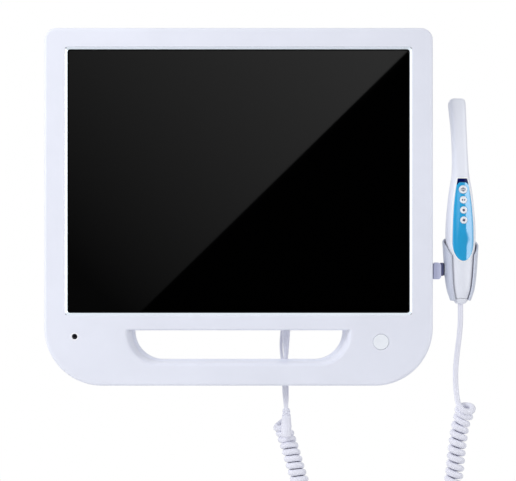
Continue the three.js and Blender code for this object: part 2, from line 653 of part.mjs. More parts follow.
// The coils hang in one deep loop from below the handpiece to just behind the sleeve.
const COIL_POINTS = [
  [228, -29.5, -217.8], [224.3, -28, -236.4], [221.5, -28, -257], [218.5, -27.5, -285],
  [213.5, -26.5, -318], [203, -25, -350], [184, -22.5, -376], [158, -19, -391], [130, -16, -391],
  [104, -13, -377], [84, -11, -352], [70, -9, -320], [59.5, -7, -288.2], [52.6, -2, -264.9],
  [49.1, 1.2, -255], [46.9, 1.7, -247.9], [44.9, 1.7, -240.7],
];
add('curly_cord', tube(COIL_POINTS, CORD.coil / 2, 10, 44), FINISH.cable);

// Two thin leads run from the plug down behind the monitor and meet in the tapered sleeve.
const SLEEVE = { x: 48.5, y: -14.2, top: -222, bottom: -251.5 };
const VIDEO_POINTS = [
  [48.3, -8.8, -168.4], [47.4, -8.8, -180], [46.4, -9.6, -195], [47, -12.5, -209], [48.2, -15.3, -221],
];
const POWER_POINTS = [
  [44.8, -2.6, -138.8], [43.9, -2.5, -148], [43.3, -2.4, -158], [44.2, -2.8, -171], [47, -4, -184],
  [49.2, -6.2, -198], [49.4, -9.3, -211], [48.8, -11, -221],
];
add('video_lead', tube(VIDEO_POINTS, CORD.video / 2, 8, 10), FINISH.cable);
add('power_lead', tube(POWER_POINTS, CORD.power / 2, 8, 18), FINISH.cable);
add('splitter_sleeve', alongZ([
  [0, SLEEVE.bottom], [5.2, SLEEVE.bottom], [4, SLEEVE.top - 8], [4, SLEEVE.top], [0, SLEEVE.top],
], SLEEVE.x, SLEEVE.y, 20), FINISH.cable);

// The plug is a moulded block with a tapered strain relief below and a metal nose in the socket.
const PLUG = { y0: -13.8, y1: -0.6, top: -124.4, bottom: -138.4, reliefEnd: -168 };
add('camera_plug', join(
  block([PORT.x - 6.5, PLUG.y0, PLUG.bottom], [PORT.x + 6.5, PLUG.y1, PLUG.top]),
  alongZ([
    [0, PLUG.reliefEnd], [CORD.video / 2 + 0.1, PLUG.reliefEnd], [4.7, PLUG.bottom],
    [4.7, PLUG.bottom + 1], [0, PLUG.bottom + 1],
  ], PORT.x, -8.8, 20),
  alongZ(disc(3.9, PLUG.top - 1, PLUG.top + 6), PORT.x, PORT.y, 20),
), FINISH.cable);

export default parts;
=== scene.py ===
"""Looks of the intraoral camera set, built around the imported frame.

The object is a monitor with a hand-hold, a swivelling holder on its right side, the camera handpiece in the
holder, and a curly cord. Pieces are drawn in millimetres in the frame's axes (+Z up, the screen faces -Y)
and become metres when they are made. A part's place comes from the frame.
"""
import json
from math import atan, atan2, cos, hypot, pi, radians, sin, sqrt

import bmesh
import bpy
from mathutils import Matrix, Vector


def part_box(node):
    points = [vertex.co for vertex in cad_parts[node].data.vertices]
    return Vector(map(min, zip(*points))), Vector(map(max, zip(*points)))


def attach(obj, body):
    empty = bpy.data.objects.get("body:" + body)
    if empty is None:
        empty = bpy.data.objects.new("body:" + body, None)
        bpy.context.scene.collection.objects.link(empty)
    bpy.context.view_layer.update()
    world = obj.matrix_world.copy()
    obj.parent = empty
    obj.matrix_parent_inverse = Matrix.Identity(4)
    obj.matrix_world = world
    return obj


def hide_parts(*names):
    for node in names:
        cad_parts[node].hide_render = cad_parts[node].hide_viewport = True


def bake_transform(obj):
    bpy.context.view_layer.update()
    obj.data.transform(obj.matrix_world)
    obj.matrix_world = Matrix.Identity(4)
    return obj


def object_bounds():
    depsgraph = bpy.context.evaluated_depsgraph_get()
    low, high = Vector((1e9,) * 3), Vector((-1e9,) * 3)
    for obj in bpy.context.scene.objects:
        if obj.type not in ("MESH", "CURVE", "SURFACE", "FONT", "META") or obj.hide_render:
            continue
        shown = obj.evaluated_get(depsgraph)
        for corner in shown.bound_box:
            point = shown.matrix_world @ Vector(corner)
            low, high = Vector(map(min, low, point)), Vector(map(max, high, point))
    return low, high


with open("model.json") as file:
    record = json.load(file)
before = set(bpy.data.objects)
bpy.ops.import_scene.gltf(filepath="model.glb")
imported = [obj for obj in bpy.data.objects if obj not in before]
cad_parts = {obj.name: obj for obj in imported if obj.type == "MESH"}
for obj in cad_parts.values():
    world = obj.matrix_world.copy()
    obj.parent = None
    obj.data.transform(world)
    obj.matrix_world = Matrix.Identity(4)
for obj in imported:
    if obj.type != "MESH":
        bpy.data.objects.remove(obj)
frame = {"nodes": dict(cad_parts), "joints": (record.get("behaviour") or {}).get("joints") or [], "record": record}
cad_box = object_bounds()
MM = 0.001
JOINTS = {joint["name"]: joint for joint in frame["joints"]}


def corners(node):
    """Lowest and highest corner of a CAD node, in millimetres."""
    low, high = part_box(node)
    return low / MM, high / MM


def middle(node):
    low, high = corners(node)
    return (low + high) / 2


# ---- camera ------------------------------------------------------------------------------------
IMAGE_WIDTH, VIEW_DISTANCE = 516, 1400  # millimetres seen at the monitor's front, and the way to it
VIEW_X, VIEW_Z = 19.5, -50.5  # the camera looks straight at the monitor's front from here
BEZEL_LOW, BEZEL_HIGH = corners("front_bezel")
FRONT = BEZEL_LOW.y

scene = bpy.context.scene
camera = bpy.data.objects.new("camera", bpy.data.cameras.new("camera"))
scene.collection.objects.link(camera)
scene.camera = camera
camera.data.sensor_width = 36
camera.data.lens = camera.data.sensor_width * VIEW_DISTANCE / IMAGE_WIDTH
camera.location = Vector((VIEW_X, FRONT - VIEW_DISTANCE, VIEW_Z)) * MM
camera.rotation_euler = (radians(90), 0, 0)
camera.data.clip_start, camera.data.clip_end = 0.05, 50


# ---- materials ---------------------------------------------------------------------------------
def node_material(name):
    made = bpy.data.materials.new(name)
    made.use_nodes = True
    tree = made.node_tree
    return made, tree.nodes, tree.links, tree.nodes["Principled BSDF"]


def noise(nodes, links, vector, scale, detail=2):
    made = nodes.new("ShaderNodeTexNoise")
    made.inputs["Scale"].default_value = scale
    made.inputs["Detail"].default_value = detail
    links.new(vector, made.inputs["Vector"])
    return made.outputs["Fac"]


def uneven_gloss(nodes, links, shader, source, low, high):
    gloss = nodes.new("ShaderNodeMapRange")
    gloss.inputs["To Min"].default_value = low
    gloss.inputs["To Max"].default_value = high
    links.new(source, gloss.inputs["Value"])
    links.new(gloss.outputs["Result"], shader.inputs["Roughness"])


def two_tone(nodes, links, shader, source, first, second):
    tint = nodes.new("ShaderNodeMixRGB")
    tint.inputs["Color1"].default_value = (*first, 1)
    tint.inputs["Color2"].default_value = (*second, 1)
    links.new(source, tint.inputs["Fac"])
    links.new(tint.outputs["Color"], shader.inputs["Base Color"])


def moulded(name, color, roughness, grain=0.35, bump=0.12, mottle=0.025, coat=0.0, **constants):
    """A moulded surface: fine grain as bump, soft broad changes of colour, and uneven gloss."""
    made, nodes, links, shader = node_material(name)
    place = nodes.new("ShaderNodeTexCoord").outputs["Object"]
    fine = noise(nodes, links, place, 1 / (grain * MM), 3)
    broad = noise(nodes, links, place, 14, 4)
    tint = nodes.new("ShaderNodeValToRGB")
    tint.color_ramp.elements[0].position, tint.color_ramp.elements[1].position = 0.3, 0.7
    tint.color_ramp.elements[0].color = (*[c * (1 - mottle) for c in color], 1)
    tint.color_ramp.elements[1].color = (*[min(c * (1 + mottle), 1) for c in color], 1)
    links.new(broad, tint.inputs["Fac"])
    links.new(tint.outputs["Color"], shader.inputs["Base Color"])
    uneven_gloss(nodes, links, shader, fine, max(roughness - 0.06, 0.02), roughness + 0.06)
    relief = nodes.new("ShaderNodeBump")
    relief.inputs["Strength"].default_value = bump
    relief.inputs["Distance"].default_value = 0.03 * MM
    links.new(fine, relief.inputs["Height"])
    links.new(relief.outputs["Normal"], shader.inputs["Normal"])
    shader.inputs["Coat Weight"].default_value = coat
    shader.inputs["Coat Roughness"].default_value = 0.05
    for socket, value in constants.items():
        shader.inputs[socket.replace("_", " ")].default_value = value
    return made


def machined(name, color, roughness, brushed=(1, 1, 12)):
    """Plated or turned metal with fine tool marks in one direction."""
    made, nodes, links, shader = node_material(name)
    place = nodes.new("ShaderNodeTexCoord")
    stretch = nodes.new("ShaderNodeMapping")
    stretch.inputs["Scale"].default_value = brushed
    links.new(place.outputs["Object"], stretch.inputs["Vector"])
    marks = noise(nodes, links, stretch.outputs["Vector"], 900, 5)
    two_tone(nodes, links, shader, marks, [c * 0.85 for c in color], color)
    uneven_gloss(nodes, links, shader, marks, roughness - 0.08, roughness + 0.12)
    shader.inputs["Metallic"].default_value = 1
    return made


def screen_glass():
    """Black glass with a faint anti-smear haze."""
    made, nodes, links, shader = node_material("screen_glass")
    place = nodes.new("ShaderNodeTexCoord")
    haze = noise(nodes, links, place.outputs["Object"], 6)
    uneven_gloss(nodes, links, shader, haze, 0.012, 0.03)
    two_tone(nodes, links, shader, haze, (0.0001, 0.0001, 0.0001), (0.0003, 0.0003, 0.0004))
    return made


def circuit_board():
    """Green solder mask with paler copper tracks under it."""
    made, nodes, links, shader = node_material("circuit_board")
    place = nodes.new("ShaderNodeTexCoord")
    tracks = nodes.new("ShaderNodeTexBrick")
    tracks.inputs["Scale"].default_value = 160
    tracks.inputs["Mortar Size"].default_value = 0.03
    tracks.inputs["Color1"].default_value = (0.008, 0.12, 0.05, 1)
    tracks.inputs["Color2"].default_value = (0.012, 0.16, 0.07, 1)
    tracks.inputs["Mortar"].default_value = (0.04, 0.30, 0.13, 1)
    turn = nodes.new("ShaderNodeMapping")
    turn.inputs["Rotation"].default_value = (radians(90), 0, 0)
    links.new(place.outputs["Object"], turn.inputs["Vector"])
    links.new(turn.outputs["Vector"], tracks.inputs["Vector"])
    links.new(tracks.outputs["Color"], shader.inputs["Base Color"])
    shader.inputs["Roughness"].default_value = 0.4
    return made


CASE = moulded("case_plastic", (0.800, 0.820, 0.915), 0.36, grain=0.5, bump=0.10)
BUTTON = moulded("button_plastic", (0.87, 0.90, 0.955), 0.28, grain=0.3, bump=0.05)
HOLDER_PLASTIC = moulded("holder_plastic", (0.60, 0.635, 0.735), 0.38, grain=0.4, bump=0.10)
GRIP = moulded("grip_plastic", (0.825, 0.845, 0.925), 0.30, grain=0.4, bump=0.06)
BLUE = moulded("panel_blue", (0.028, 0.42, 0.80), 0.16, grain=0.8, bump=0.01, mottle=0.06, coat=1.0,
               Coat_IOR=2.0)
NAVY = moulded("panel_navy", (0.002, 0.006, 0.085), 0.15, grain=0.8, bump=0.01, mottle=0.1,
               Specular_IOR_Level=0.15)
INK = moulded("printed_ink", (0.07, 0.065, 0.13), 0.5, grain=0.2, bump=0.05)
POLISHED = moulded("polished_edge", (0.80, 0.87, 0.94), 0.14, grain=0.8, bump=0.02, Metallic=0.85)
# painted highlight: a whiter colour on the infrared window's ring and on the bead round the button panel stands
# for the light they catch
PAINTED_HIGHLIGHT = moulded("painted_highlight_ring", (0.95, 0.96, 0.98), 0.2, grain=0.4, bump=0.02, mottle=0.01)
# the bracket base has its own bluish tint, darkened as painted shade for where it sits set back beside the monitor
SHADE_PAINTED_BASE_PLASTIC = moulded("bracket_plastic_painted_shade", (0.56, 0.585, 0.79), 0.4, grain=0.4, bump=0.10)
# painted shade: a dark colour on the cup's inner faces stands for the shade in the gap round the grip
PAINTED_SHADE = moulded("cup_painted_shade", (0.11, 0.10, 0.19), 0.7, grain=0.5, bump=0.2)
SMOKE = moulded("smoked_window", (0.002, 0.002, 0.005), 0.10, grain=0.8, bump=0.01, Specular_IOR_Level=0.35)
GREY = moulded("grey_plastic", (0.115, 0.125, 0.26), 0.45, grain=0.3, bump=0.15)
BLACK = moulded("black_plastic", (0.012, 0.012, 0.014), 0.5, grain=0.3, bump=0.2, mottle=0.2)
BLACK_PRINT = moulded("printed_border", (0.0008, 0.0008, 0.0009), 0.6, grain=0.5, bump=0.02,
                      Specular_IOR_Level=0.08)
FOAM = moulded("foam", (0.035, 0.035, 0.04), 0.9, grain=0.6, bump=0.9, mottle=0.3)
JACKET = moulded("cord_jacket", (0.800, 0.805, 0.895), 0.36, grain=4, bump=0, mottle=0.015)
LAMP = moulded("led_plastic", (0.80, 0.76, 0.50), 0.25, grain=0.4, bump=0.05)
MODULE = moulded("display_module", (0.42, 0.43, 0.45), 0.4, grain=1.5, bump=0.2, Metallic=0.8)
CLEAR = moulded("clear_cover", (0.9, 0.93, 0.95), 0.08, grain=2, bump=0.01, Transmission_Weight=1.0)
STEEL = machined("steel", (0.56, 0.57, 0.60), 0.28)
BRASS = machined("brass", (0.72, 0.50, 0.20), 0.30)
GLASS = screen_glass()
BOARD = circuit_board()

CAD_FINISH = {
    "screen_glass": GLASS, "display_module": MODULE, "steel": STEEL, "circuit_board": BOARD,
    "black_plastic": BLACK, "foam": FOAM, "grey_plastic": GREY, "brass": BRASS,
    "case_plastic": CASE, "button_plastic": BUTTON, "holder_plastic": HOLDER_PLASTIC,
    "grip_plastic": GRIP, "panel_blue": BLUE, "panel_navy": NAVY, "smoked_window": SMOKE,
    "led_plastic": LAMP, "cord_jacket": JACKET,
}
for part in frame["record"]["subparts"]:
    data = frame["nodes"][part["node"]].data
    data.materials.clear()
    data.materials.append(CAD_FINISH[part["material_slot"]])


# ---- mesh tools --------------------------------------------------------------------------------
def ring(bm, points):
    return [bm.verts.new(p) for p in points]


def skin(bm, a, b, closed=True):
    """Quads between two rings with the same number of points."""
    for i in range(len(a) if closed else len(a) - 1):
        j = (i + 1) % len(a)
        bm.faces.new((a[i], a[j], b[j], b[i]))


def sweep(bm, outlines, closed=True):
    """Quads through a list of outlines; returns the first and the last ring."""
    rings = [ring(bm, outline) for outline in outlines]
    for a, b in zip(rings, rings[1:]):
        skin(bm, a, b, closed)
    return rings[0], rings[-1]


def swept(bm, outlines):
    """A closed form through the outlines, with a face over each end."""
    for end in sweep(bm, outlines):
        bm.faces.new(end)
    return bm


def hoop(bm, outlines):
    """A closed form whose last outline meets its first."""
    start, end = sweep(bm, outlines)
    skin(bm, end, start)
    return bm


def flat(bm, *loops):
    """Fills the plane between an outer ring and the rings of its holes."""
    edges = []
    for loop in loops:
        for a, b in zip(loop, loop[1:] + loop[:1]):
            edges.append(bm.edges.get((a, b)) or bm.edges.new((a, b)))
    bmesh.ops.triangle_fill(bm, use_beauty=True, use_dissolve=False, edges=edges)


def lathe(profile, axis="z", at=(0, 0, 0), segments=48):
    """A closed turned piece. The profile is (radius, distance along the axis), axis to axis or closed."""
    bm = bmesh.new()
    turns = [(cos(2 * pi * i / segments), sin(2 * pi * i / segments)) for i in range(segments)]
    place = {
        "x": lambda r, t, c, s: (t, r * c, r * s),
        "y": lambda r, t, c, s: (r * c, t, r * s),
        "z": lambda r, t, c, s: (r * c, r * s, t),
    }[axis]
    rings = []
    for r, t in profile:
        if r < 1e-6:
            rings.append([bm.verts.new(place(0, t, 0, 0))])
        else:
            rings.append([bm.verts.new(place(r, t, c, s)) for c, s in turns])
    pairs = list(zip(rings, rings[1:]))
    if len(rings[0]) > 1:
        pairs.append((rings[-1], rings[0]))
    for a, b in pairs:
        if len(a) > 1 and len(b) > 1:
            skin(bm, a, b)
        else:
            tip, rim = (a[0], b) if len(a) == 1 else (b[0], a)
            for i in range(segments):
                bm.faces.new((tip, rim[i], rim[(i + 1) % segments]))
    bm.transform(Matrix.Translation(at))
    return bm


def rounded_edge(radius, steps=5):
    """(inset, depth) pairs round a quarter circle, from a face to the side at right angles to it."""
    angles = [pi / 2 * i / steps for i in range(steps + 1)]
    return [(radius * (1 - sin(a)), radius * (1 - cos(a))) for a in angles]


def mesh_of(bm, smooth=35):
    """The bmesh as a mesh in metres, with smooth shading up to an angle. Frees the bmesh."""
    bmesh.ops.remove_doubles(bm, verts=bm.verts, dist=1e-5)
    bmesh.ops.recalc_face_normals(bm, faces=bm.faces)
    mesh = bpy.data.meshes.new("piece")
    bm.to_mesh(mesh)
    bm.free()
    mesh.transform(Matrix.Scale(MM, 4))
    mesh.polygons.foreach_set("use_smooth", [True] * len(mesh.polygons))
    mesh.set_sharp_from_angle(angle=radians(smooth))
    return mesh


def shaped(bm, *modifiers):
    """The bmesh with modifiers applied, as a bmesh in millimetres. A modifier is a type and its settings."""
    mesh = bpy.data.meshes.new("draft")
    bmesh.ops.recalc_face_normals(bm, faces=bm.faces)
    bm.to_mesh(mesh)
    bm.free()
    draft = bpy.data.objects.new("draft", mesh)
    scene.collection.objects.link(draft)
    for kind, settings in modifiers:
        modifier = draft.modifiers.new(kind, kind)
        for key, value in settings.items():
            setattr(modifier, key, value)
    bpy.context.view_layer.update()
    made = bmesh.new()
    made.from_mesh(draft.evaluated_get(bpy.context.evaluated_depsgraph_get()).to_mesh())
    bpy.data.objects.remove(draft)
    return made


def carved(bm, *tools, operation="DIFFERENCE"):
    """The closed bmesh cut by, or joined with, closed tools."""
    for tool in tools:
        bmesh.ops.recalc_face_normals(tool, faces=tool.faces)
        mesh = bpy.data.meshes.new("tool")
        tool.to_mesh(mesh)
        tool.free()
        cutter = bpy.data.objects.new("tool", mesh)
        scene.collection.objects.link(cutter)
        settings = {"operation": operation, "object": cutter, "solver": "EXACT"}
        bm = shaped(bm, ("BOOLEAN", settings))
        bpy.data.objects.remove(cutter)
    return bm


def bevelled(bm, width, segments=3, angle=30):
    settings = {"width": width, "segments": segments, "limit_method": "ANGLE",
                "angle_limit": radians(angle), "harden_normals": False}
    return shaped(bm, ("BEVEL", settings))


def merged(*parts):
    """Several bmeshes as one."""
    whole = bmesh.new()
    for part_bm in parts:
        mesh = bpy.data.meshes.new("part")
        part_bm.to_mesh(mesh)
        part_bm.free()
        whole.from_mesh(mesh)
        bpy.data.meshes.remove(mesh)
    return whole


def placed(name, data):
    made = bpy.data.objects.new(name, data)
    scene.collection.objects.link(made)
    return made


def piece(name, bm, material, body, stands_for=(), smooth=35, trims=(), trim_of=None):
    """A finished piece. trim_of takes the middle of a face, in millimetres, and gives 0 for the main
    material or the number of a trim."""
    mesh = mesh_of(bm, smooth)
    for finish in (material, *trims):
        mesh.materials.append(finish)
    if trims:
        for face in mesh.polygons:
            face.material_index = int(trim_of(face.center / MM))
    made = placed(name, mesh)
    if body:
        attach(made, body)
    if stands_for:
        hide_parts(*stands_for)
    return made


# ---- cords -------------------------------------------------------------------------------------
def through(points, step):
    """A centripetal Catmull-Rom curve through the points, resampled at about the step."""
    p = [Vector(q) for q in points]
    p = [2 * p[0] - p[1], *p, 2 * p[-1] - p[-2]]
    dense = []
    for a, b, c, d in zip(p, p[1:], p[2:], p[3:]):
        t1 = sqrt((b - a).length)
        t2 = t1 + sqrt((c - b).length)
        t3 = t2 + sqrt((d - c).length)
        for i in range(24):
            t = t1 + (t2 - t1) * i / 24
            u = a + (b - a) * (t / t1)
            v = b + (c - b) * ((t - t1) / (t2 - t1))
            w = c + (d - c) * ((t - t2) / (t3 - t2))
            uv = u + (v - u) * (t / t2)
            vw = v + (w - v) * ((t - t1) / (t3 - t1))
            dense.append(uv + (vw - uv) * ((t - t1) / (t2 - t1)))
    dense.append(p[-2])
    return even(dense, step)


def even(line, step):
    """The same line with points at equal distances."""
    reach = [0.0]
    for a, b in zip(line, line[1:]):
        reach.append(reach[-1] + (b - a).length)
    count = max(round(reach[-1] / step), 2)
    made, k = [], 0
    for i in range(count + 1):
        at = reach[-1] * i / count
        while k < len(line) - 2 and reach[k + 1] < at:
            k += 1
        share = (at - reach[k]) / max(reach[k + 1] - reach[k], 1e-9)
        made.append(line[k].lerp(line[k + 1], share))
    return made


def frames(line):
    """Tangent and two side vectors along a line, carried along without twist."""
    made, side = [], Vector((-1, 0, 0))
    for i, point in enumerate(line):
        tangent = (line[min(i + 1, len(line) - 1)] - line[max(i - 1, 0)]).normalized()
        side = (side - tangent * side.dot(tangent)).normalized()
        made.append((point, tangent, side, tangent.cross(side)))
    return made


def tube(line, radius, sides=14, end_radius=None, over=1.0, flat_ends=()):
    """A closed round tube along a line. It can widen over its first millimetres. An end is rounded a little
    unless it is named in flat_ends, where it meets another cord."""
    bm = bmesh.new()
    rows = frames(line)
    start, end = rows[0], rows[-1]
    end_radius = end_radius or radius
    lip, gone, widths = radius * 0.15, 0.0, []
    for i, point in enumerate(line):
        gone += (point - line[i - 1]).length if i else 0
        share = min(gone / over, 1)
        widths.append(radius + (end_radius - radius) * share * share * (3 - 2 * share))
    ringed = [(row, w, 0) for row, w in zip(rows, widths)]
    if "start" not in flat_ends:
        ringed.insert(0, (start, radius - lip, -lip))
    if "end" not in flat_ends:
        ringed.append((end, end_radius - lip, lip))
    outlines = []
    for (point, tangent, side, up), r, shift in ringed:
        centre = point + tangent * shift
        outlines.append([
            centre + side * (r * cos(2 * pi * i / sides)) + up * (r * sin(2 * pi * i / sides))
            for i in range(sides)
        ])
    return swept(bm, outlines)


WIRE, COILED_WIRE, VIDEO, POWER_WIRE = 5.5, 6.4, 4.5, 3.2  # cord diameters
LEAD_POINTS = [
    (224.6, -28, -112.6), (224.5, -28, -133), (223.4, -28, -147), (221.2, -28, -165),
    (219.7, -28, -182), (219.9, -28.8, -200), (221, -31, -211.5),
]
COIL_POINTS = [
    (229, -35.4, -216.8), (228.7, -32.6, -220), (227.6, -29.8, -226.6),
    (224.8, -28.2, -236), (221.5, -28, -257), (218.5, -27.5, -285),
    (213.5, -26.5, -318), (203, -25, -350), (184, -22.5, -376), (158, -19, -391), (130, -16, -391),
    (104, -13, -377), (84, -11, -352), (70, -9, -320), (59.5, -7, -288.2), (52.6, -2, -264.9),
    (49.1, 1.2, -255), (46.9, 1.7, -247.9), (43.6, 1.7, -240.4),
]
VIDEO_POINTS = [
    (48.3, -8.8, -165.5), (47.4, -8.8, -180), (46.4, -9.6, -195), (47, -12.5, -209), (48.2, -15.3, -221),
    (48.4, -15.1, -226),
]
POWER_POINTS = [
    (44.8, -2.6, -138.8), (43.9, -2.5, -148), (43.3, -2.4, -158), (44.2, -2.8, -171), (47, -4, -184),
    (49.2, -6.2, -198), (49.4, -9.3, -211), (48.8, -11.6, -221), (48.6, -12.8, -226),
]
COIL_RADIUS, OPEN = 6.3, 1.2  # of the wire's centreline, and how much wider its first turn opens
PITCH = (7.75, 6.75)  # under the handpiece and under the sleeve
LOOSER, LOOSE_FOR = 2.3, 18  # the first turns' extra pitch, and the way over which it is lost
AXIS_STEP, TURN_STEP = 0.3, 1.6  # between points of the hanging axis and of the wire
START_TURN, END_TURN = radians(60), radians(229)
SLEEVE_ENTRY = Vector((48.6, -10.4, -236))


def bezier(a, b, c, d, count=10):
    made = []
    for i in range(1, count):
        t = i / count
        made.append(a * (1 - t) ** 3 + b * (3 * t * (1 - t) ** 2) + c * (3 * t * t * (1 - t)) + d * t ** 3)
    return made


def helix():
    """Left-handed turns round the hanging axis, from the lead's end to the back of the sleeve."""
    rows = frames(through(COIL_POINTS, AXIS_STEP))
    total, winding = len(rows), [0.0]
    for i in range(1, total):
        looser = LOOSER * max(1 - i * AXIS_STEP / LOOSE_FOR, 0)
        pitch = PITCH[0] + (PITCH[1] - PITCH[0]) * (i / total) ** 3 + looser
        winding.append(winding[-1] + 2 * pi * AXIS_STEP / pitch)
    whole = 2 * pi * round((winding[-1] + START_TURN - END_TURN) / (2 * pi)) + END_TURN - START_TURN
    turns = []
    for i, (point, _, side, up) in enumerate(rows):
        reach = COIL_RADIUS + OPEN * max(1 - i * AXIS_STEP / LOOSE_FOR, 0)
        turn = START_TURN + winding[i] + (whole - winding[-1]) * (i / total) ** 2
        turns.append(point + side * (reach * cos(turn)) - up * (reach * sin(turn)))
    return even(turns, TURN_STEP)


lead_line = through(LEAD_POINTS, 3)
turns_line = helix()
enter = (turns_line[1] - turns_line[0]).normalized()
lead_end, lead_way = lead_line[-1], (lead_line[-1] - lead_line[-2]).normalized()
leave = (turns_line[-1] - turns_line[-2]).normalized()
coil_line = even([
    lead_end, *bezier(lead_end, lead_end + lead_way * 3, turns_line[0] - enter * 3, turns_line[0]),
    *turns_line,
    *bezier(turns_line[-1], turns_line[-1] + leave * 9, SLEEVE_ENTRY + Vector((2, 11, 3)), SLEEVE_ENTRY),
    SLEEVE_ENTRY,
], TURN_STEP)
video_line, power_line = through(VIDEO_POINTS, 2), through(POWER_POINTS, 2)

lead = piece("handpiece_cable", tube(lead_line, WIRE / 2, 16, flat_ends=["end"]), JACKET, None,
             ["handpiece_lead"])
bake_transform(lead)
coil = piece("coiled_cable", tube(coil_line, WIRE / 2, 16, COILED_WIRE / 2, 24, ["start"]), JACKET, None,
             ["curly_cord"])
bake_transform(coil)
video = piece("video_cable", tube(video_line, VIDEO / 2, 18), JACKET, "monitor",
              ["video_lead"])
power = piece("power_cable", tube(power_line, POWER_WIRE / 2, 16), JACKET, "monitor",
              ["power_lead"])


def slotted_relief(radius_at, low, high, at, slots, depth, segments=48, rows=70):
    """A moulded strain relief: a tapered sleeve along Z with short staggered slots round it."""
    bm = bmesh.new()
    outlines = []
    for k in range(rows + 1):
        z = high + (low - high) * k / rows
        outline = []
        for i in range(segments):
            angle = 2 * pi * i / segments
            r = radius_at(z)
            for count, (centre, half) in enumerate(slots):
                inside = abs(z - centre) < half
                sector = (angle / (pi / 2) + 0.5 * count) % 1
                if inside and 0.18 < sector < 0.82:
                    r -= depth
            outline.append((at[0] + r * cos(angle), at[1] + r * sin(angle), z))
        outlines.append(outline)
    return swept(bm, outlines)


SLEEVE_LOW, SLEEVE_HIGH = corners("splitter_sleeve")
sleeve_at = middle("splitter_sleeve")


def sleeve_radius(z):
    """Round shoulders, a neck, a long flare and a round lower rim."""
    from_top, from_bottom = SLEEVE_HIGH.z - z, z - SLEEVE_LOW.z
    radius = 3.8 + 1.4 * min(max((from_top - 3) / 14, 0), 1) ** 0.8
    radius -= 1.3 * max(1 - from_top / 1.6, 0) ** 2
    return radius - 1.6 * max(1 - from_bottom / 1.6, 0) ** 2


sleeve = piece("cable_junction", merged(
    slotted_relief(sleeve_radius, SLEEVE_LOW.z, SLEEVE_HIGH.z, sleeve_at,
                   [(SLEEVE_HIGH.z - d, 0.5) for d in (3.2, 5.2, 7.2)], 0.8, rows=110),
    tube([Vector((sleeve_at.x, sleeve_at.y + 2, -236)), Vector((sleeve_at.x, -9.6, -236)),
          Vector((sleeve_at.x, -8.2, -236))], 3.6, 24),
), JACKET, "monitor", ["splitter_sleeve"])

PLUG_LOW, PLUG_HIGH = corners("camera_plug")
PORT = middle("camera_socket")
BLOCK = {"bottom": -138.4, "top": -124.4, "front": -13.8, "back": -0.6, "half": 6.5}
GRIPS = {"rows": 4, "first": -128.6, "pitch": 2, "out": 1.6}


def plug_body():
    """The plug's block and its strain relief. Known fault: the overlapping grips make the cut return
    nothing, so the block is missing and only the relief is left."""
    bm = bmesh.new()
    bmesh.ops.create_cube(bm, size=1)
    size = (2 * BLOCK["half"], BLOCK["back"] - BLOCK["front"], BLOCK["top"] - BLOCK["bottom"])
    centre = (PORT.x, (BLOCK["back"] + BLOCK["front"]) / 2, (BLOCK["top"] + BLOCK["bottom"]) / 2)
    bm.transform(Matrix.Translation(centre) @ Matrix.Diagonal((*size, 1)))
    bm = bevelled(bm, 1.8, 4)
    grips = []
    for side in (-1, 1):
        for k in range(GRIPS["rows"]):
            z = GRIPS["first"] - GRIPS["pitch"] * k
            at = (PORT.x + side * (BLOCK["half"] + GRIPS["out"]), centre[1], z)
            grips.append(lathe([(0, -5), (0.35, -5), (2.2, -4), (2.2, 4), (0.35, 5), (0, 5)], "y", at, 20))
    bm = carved(bm, merged(*grips))
    relief = slotted_relief(
        lambda z: 2.45 + 2.25 * (z - PLUG_LOW.z) / (BLOCK["bottom"] - PLUG_LOW.z),
        PLUG_LOW.z, BLOCK["bottom"] + 1, (PORT.x, -8.8),
        [(BLOCK["bottom"] - 3 - 3 * k, 0.6) for k in range(8)], 0.22,
    )
    return merged(bm, relief)


plug = piece("plug_moulding", plug_body(), JACKET, "monitor", ["camera_plug"])
nose = piece("plug_nose", lathe([
    (0, BLOCK["top"] - 0.5), (3.9, BLOCK["top"] - 0.5), (3.9, PLUG_HIGH.z - 0.4), (3.5, PLUG_HIGH.z),
    (2.9, PLUG_HIGH.z), (2.9, PLUG_HIGH.z - 4), (0, PLUG_HIGH.z - 4),
], "z", (PORT.x, PORT.y, 0)), STEEL, "monitor")

# ---- monitor casing ----------------------------------------------------------------------------
HALF, TOP, BOTTOM = BEZEL_HIGH.x, BEZEL_HIGH.z, BEZEL_LOW.z
SPLIT = BEZEL_HIGH.y
COVER_START = corners("rear_cover")[0].y
WALL, PLATE_BACK, REAR = 2.5, FRONT + 2.6, -16
COVER_INNER = REAR - WALL
CORNER_LOW, CORNER_HIGH = 58, 12  # corner radii of the outline
SCREEN = {"half": 171.5, "low": -123, "high": 141, "radius": 3}
GRIP_HOLE = {"half": (111.7, 105.2), "low": (-174, -171), "high": -140.5, "radius": (30.5, 28.5)}
CASE_SCREWS = [middle(f"case_screw_{i}") for i in range(1, 7)]
INSERTS = [middle(f"vesa_insert_{i}") for i in range(1, 5)]
POWER_AT, INFRARED_AT = middle("power_button"), middle("infrared_window")


def rounded(half, low, high, low_radius, high_radius, y, steps=14, x=0.0):
    """A rectangle in X and Z with round corners, from the lower right corner round to the lower left."""
    points = []
    for cx, cz, r, start in (
        (half - low_radius, low + low_radius, low_radius, -90),
        (half - high_radius, high - high_radius, high_radius, 0),
        (-half + high_radius, high - high_radius, high_radius, 90),
        (-half + low_radius, low + low_radius, low_radius, 180),
    ):
        for i in range(steps + 1):
            a = radians(start + 90 * i / steps)
            points.append((x + cx + r * cos(a), y, cz + r * sin(a)))
    return points


def circle(x, z, r, y, steps=40):
    return [(x + r * cos(2 * pi * i / steps), y, z + r * sin(2 * pi * i / steps)) for i in range(steps)]


def case_outline(inset, y):
    return rounded(HALF - inset, BOTTOM + inset, TOP - inset, CORNER_LOW - inset, CORNER_HIGH - inset, y, 20)


